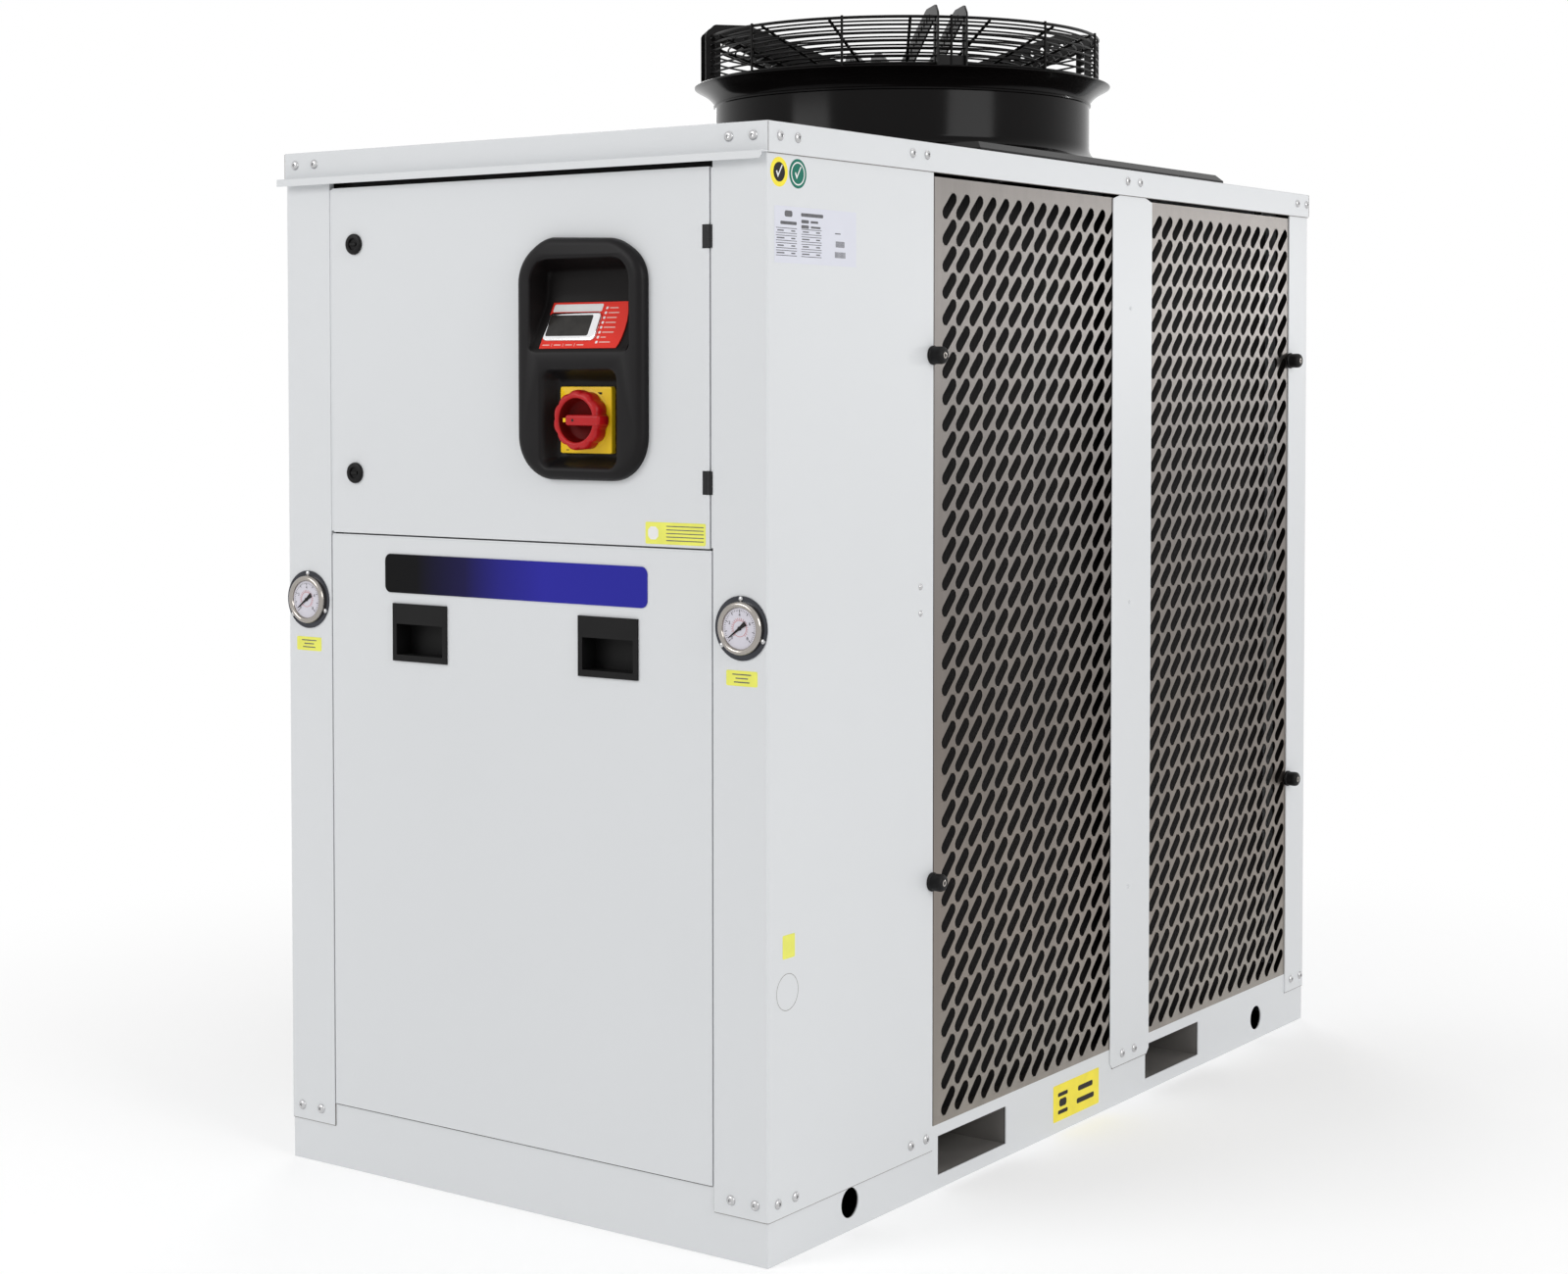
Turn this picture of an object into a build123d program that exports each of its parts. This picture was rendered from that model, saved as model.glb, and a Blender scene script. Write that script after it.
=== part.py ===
"""Process water chiller: a closed sheet metal cabinet on a fork lift base.

Frame: X runs across the front, Y runs from the front to the back, Z is up.
The pieces are drawn about the middle of the cabinet. Each is then moved back by
half of what the switch handle stands out in front of the roof cap, so that the
origin lies on the floor under the middle of the whole object. All sizes in mm.
"""
import os
from math import cos, radians, sin

from build123d import *

os.makedirs("parts", exist_ok=True)

# cabinet, measured over the roof cap
cabinet_width = 876.0
cabinet_depth = 1640.0
cabinet_height = 1480.0
panel_sheet = 2.0
panel_return = 25.0
fold_radius = 3.0

# base frame
base_height = 91.0
base_sheet = 3.0
base_flange = 60.0
floor_sheet = 2.0
fork_spacing = 625.0
fork_width = 188.0
fork_height = 56.0
fork_lift = 20.0
fork_wall = 3.0
lift_hole_diameter = 41.0
lift_hole_inset = 192.0
lift_hole_height = 38.0

# corner panels and posts
column_width = 90.0
column_bottom = 60.0
column_return = 30.0
front_side_leg = 394.0
rear_side_leg = 75.0
grille_lap = 10.0
post_width = 129.0
post_offset = 162.5
post_web_inset = 24.0
post_bottom = 62.0

# air grilles
grille_sheet = 1.5
grille_top_gap = 6.0
grille_post_lap = 21.0
slot_length = 46.5
slot_width = 17.5
slot_pitch_y = 36.3
slot_pitch_z = 37.47
slot_front_edge = 26.3
slot_rear_edge = 40.5
slot_margin = 20.0
slot_bottom = 28.2
slot_angle = 45.0

# condenser coils
coil_thickness = 36.0
coil_setback = 8.0
coil_end_gap = 12.0
coil_top_gap = 40.0

# front panels
panel_gap = 2.5
split_drop = 513.0
door_gap = 5.5
door_top_gap = 14.5
handle_inset = 173.5
handle_drop = 136.0
handle_width = 103.0
handle_tall = 82.0
handle_rim = 3.0
handle_mouth_width = 88.0
handle_mouth_tall = 44.0
handle_mouth_drop = 9.0
handle_depth = 30.0
handle_hood = 18.0
handle_wall = 3.0
brand_plate_margin = 106.5
brand_plate_tall = 55.0
brand_plate_radius = 10.0
brand_plate_drop = 52.5
brand_plate_thickness = 1.5

# roof cap and drip visor
cap_flange = 40.0
visor_reach = 15.0
visor_drop = 9.0
visor_sheet = 1.5

# electrical box behind the door
box_sheet = 1.5
box_depth = 230.0
box_rim = 14.0
box_top_gap = 9.0
box_bottom_lap = 22.0

# door hinges
hinge_height = 30.0
hinge_top_inset = 90.0
hinge_bottom_inset = 86.0
hinge_pin_radius = 2.5
hinge_pin_clearance = 0.05
hinge_knuckle_radius = 4.0
hinge_knuckle_gap = 0.3
hinge_column_gap = 0.5
hinge_leaf = 12.0
hinge_tab = 10.0
hinge_plate = 4.0
hinge_mid_knuckle = 9.4
hinge_notch_gap = 0.6

# door locks
lock_side_inset = 45.0
lock_top_inset = 81.5
lock_bottom_inset = 86.5
lock_head_diameter = 30.0
lock_head_height = 5.0
lock_body_diameter = 20.0
lock_body_length = 16.0

# control bezel on the door
bezel_side_inset = 210.5
bezel_drop = 248.0
bezel_width = 220.0
bezel_tall = 326.0
bezel_proud = 16.0
bezel_top_radius = 64.0
bezel_bottom_radius = 60.0
bezel_edge_radius = 7.0
bezel_tub_depth = 26.0
bezel_tub_rim = 18.0
bezel_tub_radius = 20.0
bezel_cut_gap = 1.5
upper_recess_width = 172.0
upper_recess_lift = 9.5
upper_recess_tall = 126.0
upper_recess_lip = 2.0
upper_recess_back = 22.0
slope_rise = 71.0
hood_rise = 40.0
lower_recess_size = 132.0
lower_recess_drop = 80.0
lower_recess_floor = 10.0
lower_recess_radius = 15.0
control_panel_width = 139.0
control_panel_tall = 70.0
control_panel_thickness = 1.5
display_width = 86.0
display_tall = 40.0
display_thickness = 4.0
display_x_shift = -16.0
display_slope_shift = 1.0
display_radius = 6.0

# isolator switch
switch_plate_size = 90.0
switch_plate_thickness = 8.0
switch_plate_radius = 3.0
switch_drop = 82.0
knob_radius = 39.0
knob_lobe = 4.0
knob_lobes = 10
knob_inner_radius = 30.0
knob_length = 23.0
knob_floor = 8.0
knob_bar_width = 14.0
knob_bar_reach = 42.0
knob_bar_proud = 1.0
knob_gap = 0.5
knob_shaft_radius = 5.0
knob_shaft_length = 6.0
knob_shaft_clearance = 0.05

# pressure gauges
gauge_inset = 43.5
gauge_drop = 98.0
gauge_flange_diameter = 84.0
gauge_flange_thickness = 2.0
gauge_bezel_diameter = 68.0
gauge_bezel_height = 9.0
gauge_dial_diameter = 58.0
gauge_glass_depth = 2.5
gauge_case_diameter = 62.0
gauge_case_length = 28.0
gauge_hole_gap = 1.0

# clamping knobs on the grilles
clamp_diameter = 25.0
clamp_length = 22.0
clamp_edge = 3.0
clamp_top_inset = 250.0
clamp_bottom_inset = 350.0

# fan
fan_y = 161.0
fan_turn = 1.7
plate_side_gap = 40.5
plate_border = 40.5
plate_height = 20.0
plate_bevel = 10.0
plate_sheet = 2.0
shroud_wall = 3.0
shroud_rise = 156.0
collar_step = 15.0
collar_height = 31.0
flare_radius = 45.0
flare_height = 30.0
guard_inset = 1.0
guard_rise = 76.0
guard_wire = 4.0
guard_side_rings = 4
guard_side_pitch = 24.0
guard_side_bars = 12
guard_slope = 0.39
guard_inner_radius = 98.0
guard_top_rings = 6
guard_spokes = 16
arm_step = 9.0
arm_leg = 25.0
arm_gap = 43.0
arm_sheet = 3.0
arm_rise = 24.0
arm_chamfer_r = 24.0
arm_chamfer_z = 19.0
arm_flat_inset = 83.0
arm_inner_radius = 60.0
arm_inner_height = 32.0
arm_drop = 38.0
lug_step = 20.0
lug_height = 12.0
motor_flange_radius = 100.0
motor_flange_thickness = 8.0
motor_radius = 62.0
motor_length = 22.0
motor_shaft_radius = 12.5
motor_shaft_clearance = 0.05
hub_radius = 90.0
hub_height = 80.0
hub_gap = 5.0
blade_tip_gap = 6.0
blade_count = 6
blade_sheet = 4.0
blade_span = 48.0
blade_rise = 46.0
blade_root_sink = 1.0

# derived planes
cap_x = cabinet_width / 2
cap_y = cabinet_depth / 2
roof_under = cabinet_height - panel_sheet
skin_x = cap_x - panel_sheet
skin_y = cap_y - panel_sheet
base_x = skin_x - panel_sheet
base_y = skin_y - panel_sheet
floor_z = base_height + floor_sheet
opening_x = skin_x - column_width + panel_sheet
cap_bottom = cabinet_height - cap_flange
front_y = -skin_y
door_top = cap_bottom - door_top_gap
split_height = cap_bottom - split_drop
door_low = split_height + panel_gap
door_x = opening_x - door_gap
panel_x = opening_x - panel_gap
bezel_x = door_x - bezel_side_inset
bezel_z = door_top - bezel_drop
lock_x = lock_side_inset - door_x
lock_heights = (door_low + lock_bottom_inset, door_top - lock_top_inset)
hinge_heights = (door_low + hinge_bottom_inset, door_top - hinge_top_inset)
switch_z = bezel_z - switch_drop
switch_floor_y = front_y + lower_recess_floor
switch_face_y = switch_floor_y - switch_plate_thickness
knob_back = switch_face_y - knob_gap
knob_front = knob_back - knob_length
handle_front = knob_front - knob_bar_proud
frame_shift = (-handle_front - cap_y) / 2
plate_size = cabinet_width - 2 * plate_side_gap
shroud_radius = plate_size / 2 - plate_border - flare_radius
shroud_top = cabinet_height + shroud_rise
collar_radius = shroud_radius + collar_step
guard_radius = collar_radius - guard_inset
guard_top = shroud_top + guard_rise
arm_radius = collar_radius + arm_step
arm_top = guard_top + arm_rise
arm_flat_radius = arm_radius - arm_flat_inset
arm_bottom = shroud_top - arm_drop
lug_radius = collar_radius + lug_step
gauge_x = cap_x - gauge_inset
gauge_z = split_height - gauge_drop


def block(x0, x1, y0, y1, z0, z1, mode=Mode.ADD):
    """A box between two corners."""
    with Locations(((x0 + x1) / 2, (y0 + y1) / 2, (z0 + z1) / 2)):
        Box(x1 - x0, y1 - y0, z1 - z0, mode=mode)


def rod(radius, length, x, y, z, axis, mode=Mode.ADD):
    """A cylinder centred on a point along X, Y or Z."""
    turn = {"X": (0, 90, 0), "Y": (90, 0, 0), "Z": (0, 0, 0)}[axis]
    with Locations(Location((x, y, z), turn)):
        Cylinder(radius, length, mode=mode)


def save(piece, name):
    """Move a finished piece into the shared frame, label it and write its file."""
    placed = piece.part.moved(Location((0, frame_shift, 0)))
    placed.label = name
    export_step(placed, "parts/" + name + ".step")


# base frame: side rails with fork windows and lifting holes
def side_rail(side):
    inner = base_x - base_sheet
    with BuildPart() as rail:
        block(inner, base_x, -base_y, base_y, 0, base_height)
        flange_y = base_y - base_sheet
        for low in (0, base_height - base_sheet):
            block(inner - base_flange, inner, -flange_y, flange_y, low, low + base_sheet)
        for way in (-1, 1):
            y = way * fork_spacing / 2
            block(inner - 1, base_x + 1, y - fork_width / 2, y + fork_width / 2,
                  fork_lift, fork_lift + fork_height, Mode.SUBTRACT)
            rod(lift_hole_diameter / 2, 4 * base_sheet, base_x, way * (cap_y - lift_hole_inset),
                lift_hole_height, "X", Mode.SUBTRACT)
        if side < 0:
            mirror(about=Plane.YZ, mode=Mode.REPLACE)
    return rail


def end_rail(side):
    inner = base_x - base_sheet
    with BuildPart() as rail:
        block(-inner, inner, base_y - base_sheet, base_y, 0, base_height)
        for low in (0, base_height - base_sheet):
            block(-inner + base_flange, inner - base_flange, base_y - base_sheet - base_flange,
                  base_y - base_sheet, low, low + base_sheet)
        if side < 0:
            mirror(about=Plane.XZ, mode=Mode.REPLACE)
    return rail


base_side_rail_right = side_rail(1)
save(base_side_rail_right, "base_side_rail_right")
base_side_rail_left = side_rail(-1)
save(base_side_rail_left, "base_side_rail_left")
base_front_rail = end_rail(-1)
save(base_front_rail, "base_front_rail")
base_rear_rail = end_rail(1)
save(base_rear_rail, "base_rear_rail")

with BuildPart() as base_floor:
    block(-base_x, base_x, -base_y, base_y, base_height, floor_z)
save(base_floor, "base_floor")


def fork_channel(way):
    y = way * fork_spacing / 2
    half = fork_width / 2
    reach = base_x - base_sheet
    with BuildPart() as channel:
        block(-reach, reach, y - half - fork_wall, y + half + fork_wall,
              fork_lift - fork_wall, fork_lift + fork_height + fork_wall)
        block(-reach, reach, y - half, y + half, fork_lift, fork_lift + fork_height,
              Mode.SUBTRACT)
    return channel


fork_pocket_front = fork_channel(-1)
save(fork_pocket_front, "fork_pocket_front")
fork_pocket_rear = fork_channel(1)
save(fork_pocket_rear, "fork_pocket_rear")


# corner panels: a folded sheet with a front leg and a side leg
def corner_panel(side, end):
    leg = front_side_leg if end < 0 else rear_side_leg
    leg_end = skin_y - leg
    web = leg_end + grille_lap + panel_sheet
    with BuildPart() as panel:
        with BuildSketch(Plane.XY.offset(column_bottom)):
            with Locations(((opening_x + skin_x) / 2, skin_y - panel_sheet / 2)):
                Rectangle(skin_x - opening_x, panel_sheet)
            with Locations((skin_x - panel_sheet / 2, (leg_end + skin_y) / 2)):
                Rectangle(panel_sheet, skin_y - leg_end)
            outer = vertices().sort_by(lambda v: v.X + v.Y)[-1]
            fillet(outer, fold_radius)
        extrude(amount=roof_under - column_bottom)
        block(opening_x, opening_x + panel_sheet, skin_y - panel_sheet - column_return,
              skin_y - panel_sheet, floor_z, roof_under)
        block(base_x - column_return, base_x, web, web + panel_sheet, floor_z, roof_under)
        if end < 0:
            rod(gauge_case_diameter / 2 + gauge_hole_gap, 4 * panel_sheet, gauge_x, skin_y,
                gauge_z, "Y", Mode.SUBTRACT)
            mirror(about=Plane.XZ, mode=Mode.REPLACE)
        if side < 0:
            mirror(about=Plane.YZ, mode=Mode.REPLACE)
    return panel


corner_panel_front_right = corner_panel(1, -1)
save(corner_panel_front_right, "corner_panel_front_right")
corner_panel_front_left = corner_panel(-1, -1)
save(corner_panel_front_left, "corner_panel_front_left")
corner_panel_rear_right = corner_panel(1, 1)
save(corner_panel_rear_right, "corner_panel_rear_right")
corner_panel_rear_left = corner_panel(-1, 1)
save(corner_panel_rear_left, "corner_panel_rear_left")


# middle posts between the grilles
def middle_post(side):
    y0 = post_offset - post_width / 2
    y1 = post_offset + post_width / 2
    with BuildPart() as post:
        block(base_x, skin_x, y0, y1, post_bottom, roof_under)
        for y in (y0 + post_web_inset, y1 - post_web_inset - panel_sheet):
            block(base_x - column_return, base_x, y, y + panel_sheet, floor_z, roof_under)
        if side < 0:
            mirror(about=Plane.YZ, mode=Mode.REPLACE)
    return post


middle_post_right = middle_post(1)
save(middle_post_right, "middle_post_right")
middle_post_left = middle_post(-1)
save(middle_post_left, "middle_post_left")


# air grilles: slotted sheets that stand on the floor behind the columns and the post
grille_top = cap_bottom - grille_top_gap


def grille(side, end):
    if end < 0:
        y0 = -skin_y + front_side_leg - grille_lap
        y1 = post_offset - post_width / 2 + grille_post_lap
    else:
        y0 = post_offset + post_width / 2 - grille_post_lap
        y1 = skin_y - rear_side_leg + grille_lap
    first_z = floor_z + slot_bottom
    rows = int((grille_top - slot_bottom - first_z) / slot_pitch_z) + 1
    edge = slot_front_edge if end < 0 else slot_rear_edge
    columns = int((y1 - y0 - edge - slot_margin) / slot_pitch_y) + 1
    slots_wide = (columns - 1) * slot_pitch_y
    first_y = y1 - edge - slots_wide if end < 0 else y0 + edge
    with BuildSketch(Plane.YZ) as slot:
        Ellipse(slot_length / 2, slot_width / 2, rotation=slot_angle)
    rim = slot.sketch.faces()[0].outer_wire()
    slots = [rim.translate((base_x - grille_sheet, first_y + column * slot_pitch_y,
                            first_z + row * slot_pitch_z))
             for column in range(columns) for row in range(rows)]
    with BuildSketch(Plane.YZ.offset(base_x - grille_sheet)) as outline:
        with Locations(((y0 + y1) / 2, (floor_z + grille_top) / 2)):
            Rectangle(y1 - y0, grille_top - floor_z)
    with BuildPart() as sheet:
        extrude(Face(outline.sketch.faces()[0].outer_wire(), slots), amount=grille_sheet,
                clean=False)
        if side < 0:
            mirror(about=Plane.YZ, mode=Mode.REPLACE)
    return sheet


grille_front_right = grille(1, -1)
save(grille_front_right, "grille_front_right")
grille_rear_right = grille(1, 1)
save(grille_rear_right, "grille_rear_right")
grille_front_left = grille(-1, -1)
save(grille_front_left, "grille_front_left")
grille_rear_left = grille(-1, 1)
save(grille_rear_left, "grille_rear_left")


# condenser coils behind the grilles
def coil(side):
    x1 = base_x - column_return - coil_setback
    y0 = -skin_y + front_side_leg + coil_end_gap
    y1 = skin_y - rear_side_leg - coil_end_gap
    with BuildPart() as core:
        block(x1 - coil_thickness, x1, y0, y1, floor_z, roof_under - coil_top_gap)
        if side < 0:
            mirror(about=Plane.YZ, mode=Mode.REPLACE)
    return core


condenser_coil_right = coil(1)
save(condenser_coil_right, "condenser_coil_right")
condenser_coil_left = coil(-1)
save(condenser_coil_left, "condenser_coil_left")

# roof cap with the air outlet
with BuildPart() as roof_cap:
    block(-cap_x, cap_x, -cap_y, cap_y, cap_bottom, cabinet_height)
    fillet(roof_cap.edges().filter_by(Axis.Z), fold_radius)
    fillet(roof_cap.faces().sort_by(Axis.Z)[-1].edges(), fold_radius / 2)
    block(-skin_x, skin_x, -skin_y, skin_y, cap_bottom, roof_under, Mode.SUBTRACT)
    rod(shroud_radius - shroud_wall, 4 * panel_sheet, 0, fan_y, cabinet_height, "Z",
        Mode.SUBTRACT)
save(roof_cap, "roof_cap")

# drip visor over the door: a small angle under the front edge of the cap
with BuildPart() as drip_visor:
    block(-cap_x, cap_x, -cap_y - visor_reach, -cap_y, cap_bottom, cap_bottom + visor_sheet)
    block(-cap_x, cap_x, -cap_y - visor_reach, -cap_y - visor_reach + visor_sheet,
          cap_bottom - visor_drop, cap_bottom)
save(drip_visor, "drip_visor")

# lower front panel with its two pull handles
panel_top = split_height - panel_gap
handle_x = panel_x - handle_inset
handle_z = split_height - handle_drop
hole_half = handle_mouth_width / 2 + handle_wall
mouth_low = handle_z - handle_tall / 2 + handle_mouth_drop
mouth_high = mouth_low + handle_mouth_tall
with BuildPart() as lower_front_panel:
    block(-panel_x, panel_x, front_y, front_y + panel_return, floor_z, panel_top)
    block(-panel_x + panel_sheet, panel_x - panel_sheet, front_y + panel_sheet,
          front_y + panel_return, floor_z + panel_sheet, panel_top - panel_sheet, Mode.SUBTRACT)
    for way in (-1, 1):
        x = way * handle_x
        block(x - hole_half, x + hole_half, front_y - 1, front_y + panel_sheet + 1,
              mouth_low - handle_wall, mouth_high + handle_hood + handle_wall, Mode.SUBTRACT)
save(lower_front_panel, "lower_front_panel")

with BuildPart() as panel_handles:
    for way in (-1, 1):
        x = way * handle_x
        block(x - handle_width / 2, x + handle_width / 2, front_y - handle_rim, front_y,
              handle_z - handle_tall / 2, handle_z + handle_tall / 2)
        block(x - hole_half, x + hole_half, front_y, front_y + handle_depth,
              mouth_low - handle_wall, mouth_high + handle_hood + handle_wall)
        block(x - handle_mouth_width / 2, x + handle_mouth_width / 2, front_y - handle_rim,
              front_y + handle_depth - handle_wall, mouth_low, mouth_high, Mode.SUBTRACT)
        block(x - handle_mouth_width / 2, x + handle_mouth_width / 2, front_y + panel_sheet,
              front_y + handle_depth - handle_wall, mouth_low, mouth_high + handle_hood,
              Mode.SUBTRACT)
save(panel_handles, "panel_handles")

with BuildPart() as brand_plate:
    with BuildSketch(Plane.XZ.offset(-front_y)):
        with Locations((0, split_height - brand_plate_drop)):
            RectangleRounded(2 * (panel_x - brand_plate_margin), brand_plate_tall,
                             brand_plate_radius)
    extrude(amount=brand_plate_thickness)
save(brand_plate, "brand_plate")

# rear panel
with BuildPart() as rear_panel:
    block(-panel_x, panel_x, skin_y - panel_return, skin_y, floor_z, cap_bottom - panel_gap)
    block(-panel_x + panel_sheet, panel_x - panel_sheet, skin_y - panel_return,
          skin_y - panel_sheet, floor_z + panel_sheet, cap_bottom - panel_gap - panel_sheet,
          Mode.SUBTRACT)
save(rear_panel, "rear_panel")

# electrical box: an open box with a rim between the columns
rim_y = front_y + panel_return
box_x = opening_x - box_rim
box_low = split_height + door_gap
box_top = cap_bottom - box_top_gap
with BuildPart() as electrical_box:
    block(-opening_x, opening_x, rim_y, rim_y + box_sheet, split_height - box_bottom_lap, box_top)
    block(-box_x, box_x, rim_y, rim_y + box_depth, box_low + box_rim, box_top - box_rim)
    block(-box_x + box_sheet, box_x - box_sheet, rim_y - 1, rim_y + box_depth - box_sheet,
          box_low + box_rim + box_sheet, box_top - box_rim - box_sheet, Mode.SUBTRACT)
save(electrical_box, "electrical_box")

# control door
hinge_x = opening_x - hinge_column_gap - hinge_knuckle_radius
hinge_y = front_y + hinge_knuckle_radius - panel_sheet - 1.0
notch_x = hinge_x - hinge_leaf - hinge_notch_gap
notch_half = hinge_height / 2 + hinge_notch_gap
tub_x = bezel_width / 2 - bezel_tub_rim
tub_z = bezel_tall / 2 - bezel_tub_rim
door_back = front_y + panel_return - door_gap
with BuildPart() as control_door:
    block(-door_x, door_x, front_y, door_back, door_low, door_top)
    block(-door_x + panel_sheet, door_x - panel_sheet, front_y + panel_sheet, door_back,
          door_low + panel_sheet, door_top - panel_sheet, Mode.SUBTRACT)
    with BuildSketch(Plane.XZ.offset(-front_y)):
        with Locations((bezel_x, bezel_z)):
            RectangleRounded(2 * (tub_x + bezel_cut_gap), 2 * (tub_z + bezel_cut_gap),
                             bezel_tub_radius + bezel_cut_gap)
    extrude(amount=2 * panel_sheet, both=True, mode=Mode.SUBTRACT)
    for z in hinge_heights:
        block(notch_x, door_x + 1, front_y - 1, door_back + 1, z - notch_half, z + notch_half,
              Mode.SUBTRACT)
    for z in lock_heights:
        rod(lock_body_diameter / 2, 4 * panel_sheet, lock_x, front_y, z, "Y", Mode.SUBTRACT)
save(control_door, "control_door")

with BuildPart() as door_locks:
    for z in lock_heights:
        rod(lock_head_diameter / 2, lock_head_height, lock_x, front_y - lock_head_height / 2,
            z, "Y")
        rod(lock_body_diameter / 2, lock_body_length, lock_x, front_y + lock_body_length / 2,
            z, "Y")
save(door_locks, "door_locks")

# hinge halves: the pins belong to the fixed leaves
mid_half = hinge_mid_knuckle / 2
plate_edge = hinge_x - hinge_knuckle_radius - hinge_knuckle_gap
with BuildPart() as frame_hinges:
    for z in hinge_heights:
        rod(hinge_pin_radius, hinge_height, hinge_x, hinge_y, z, "Z")
        rod(hinge_knuckle_radius, hinge_mid_knuckle, hinge_x, hinge_y, z, "Z")
        block(hinge_x, opening_x, hinge_y, hinge_y + column_return / 2, z - mid_half,
              z + mid_half)
save(frame_hinges, "frame_hinges")

with BuildPart() as door_hinges:
    for z in hinge_heights:
        block(hinge_x - hinge_leaf, plate_edge, front_y, front_y + hinge_plate,
              z - hinge_height / 2, z + hinge_height / 2)
        block(notch_x - hinge_tab, plate_edge, front_y + panel_sheet, front_y + hinge_plate,
              z - hinge_height / 2, z + hinge_height / 2)
        for way in (-1, 1):
            low = z + way * (mid_half + hinge_knuckle_gap)
            high = z + way * hinge_height / 2
            mid = (low + high) / 2
            tall = abs(high - low)
            rod(hinge_knuckle_radius, tall, hinge_x, hinge_y, mid, "Z")
            block(plate_edge - 1, hinge_x, front_y, front_y + hinge_plate, mid - tall / 2,
                  mid + tall / 2)
        rod(hinge_pin_radius + hinge_pin_clearance, hinge_height + 2, hinge_x, hinge_y, z, "Z",
            Mode.SUBTRACT)
save(door_hinges, "door_hinges")

# control bezel: a moulded frame with a sloped upper recess and a square lower one
bezel_front = front_y - bezel_proud
recess_low = bezel_z + upper_recess_lift
recess_high = recess_low + upper_recess_tall
with BuildPart() as control_bezel:
    with BuildSketch(Plane.XZ.offset(-front_y)):
        with Locations((bezel_x, bezel_z)):
            Rectangle(bezel_width, bezel_tall)
        fillet(vertices().group_by(Axis.Y)[-1], bezel_top_radius)
        fillet(vertices().group_by(Axis.Y)[0], bezel_bottom_radius)
    extrude(amount=bezel_proud)
    fillet(control_bezel.faces().sort_by(Axis.Y)[0].edges(), bezel_edge_radius)
    with BuildSketch(Plane.XZ.offset(-front_y)):
        with Locations((bezel_x, bezel_z)):
            RectangleRounded(2 * tub_x, 2 * tub_z, bezel_tub_radius)
    extrude(amount=-bezel_tub_depth)
    with BuildSketch(Plane.YZ.offset(bezel_x - upper_recess_width / 2)):
        with BuildLine():
            Polyline((bezel_front - 1, recess_low),
                     (bezel_front + upper_recess_lip, recess_low),
                     (front_y + upper_recess_back, recess_low + slope_rise),
                     (front_y + upper_recess_back, recess_low + slope_rise + hood_rise),
                     (bezel_front + upper_recess_lip, recess_high),
                     (bezel_front - 1, recess_high), close=True)
        make_face()
    extrude(amount=upper_recess_width, mode=Mode.SUBTRACT)
    with BuildSketch(Plane.XZ.offset(-bezel_front)):
        with Locations((bezel_x, bezel_z - lower_recess_drop)):
            RectangleRounded(lower_recess_size, lower_recess_size, lower_recess_radius)
    extrude(amount=-(bezel_proud + lower_recess_floor), mode=Mode.SUBTRACT)
save(control_bezel, "control_bezel")

# controller plate and display on the slope of the upper recess
slope_run = front_y + upper_recess_back - (bezel_front + upper_recess_lip)
slope_length = (slope_run ** 2 + slope_rise ** 2) ** 0.5
slope_mid = (bezel_x, bezel_front + upper_recess_lip + slope_run / 2,
             recess_low + slope_rise / 2)
slope_plane = Plane(origin=slope_mid, x_dir=(1, 0, 0),
                    z_dir=(0, -slope_rise / slope_length, slope_run / slope_length))
with BuildPart() as controller_plate:
    with BuildSketch(slope_plane):
        RectangleRounded(control_panel_width, control_panel_tall, display_radius / 2)
    extrude(amount=control_panel_thickness)
save(controller_plate, "controller_plate")

with BuildPart() as controller_display:
    with BuildSketch(slope_plane.offset(control_panel_thickness)):
        with Locations((display_x_shift, display_slope_shift)):
            RectangleRounded(display_width, display_tall, display_radius)
    extrude(amount=display_thickness)
save(controller_display, "controller_display")

# isolator switch: square plate and turning handle
with BuildPart() as switch_plate:
    with BuildSketch(Plane.XZ.offset(-switch_floor_y)):
        with Locations((bezel_x, switch_z)):
            RectangleRounded(switch_plate_size, switch_plate_size, switch_plate_radius)
    extrude(amount=switch_plate_thickness)
    rod(knob_shaft_radius + knob_shaft_clearance, 2 * switch_plate_thickness + 2, bezel_x,
        switch_face_y, switch_z, "Y", Mode.SUBTRACT)
save(switch_plate, "switch_plate")

with BuildPart() as switch_handle:
    with BuildSketch(Plane.XZ.offset(-knob_back)):
        with Locations((bezel_x, switch_z)):
            Circle(knob_radius - knob_lobe)
            with PolarLocations(knob_radius - knob_lobe * 2, knob_lobes):
                Circle(knob_lobe * 2)
    extrude(amount=knob_length)
    rod(knob_inner_radius, knob_length - knob_floor, bezel_x,
        knob_front + (knob_length - knob_floor) / 2, switch_z, "Y", Mode.SUBTRACT)
    block(bezel_x - knob_inner_radius - 2, bezel_x + knob_bar_reach, handle_front,
          knob_back - knob_floor + 1, switch_z - knob_bar_width / 2,
          switch_z + knob_bar_width / 2)
    rod(knob_shaft_radius, knob_shaft_length, bezel_x, knob_back + knob_shaft_length / 2,
        switch_z, "Y")
save(switch_handle, "switch_handle")


# pressure gauges through the front columns
def gauge(side):
    x = side * gauge_x
    with BuildPart() as body:
        rod(gauge_flange_diameter / 2, gauge_flange_thickness, x,
            front_y - gauge_flange_thickness / 2, gauge_z, "Y")
        rod(gauge_bezel_diameter / 2, gauge_bezel_height, x, front_y - gauge_bezel_height / 2,
            gauge_z, "Y")
        rod(gauge_case_diameter / 2, gauge_case_length, x, front_y + gauge_case_length / 2,
            gauge_z, "Y")
        rod(gauge_dial_diameter / 2, gauge_glass_depth, x,
            front_y - gauge_bezel_height + gauge_glass_depth / 2, gauge_z, "Y", Mode.SUBTRACT)
    return body


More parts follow.
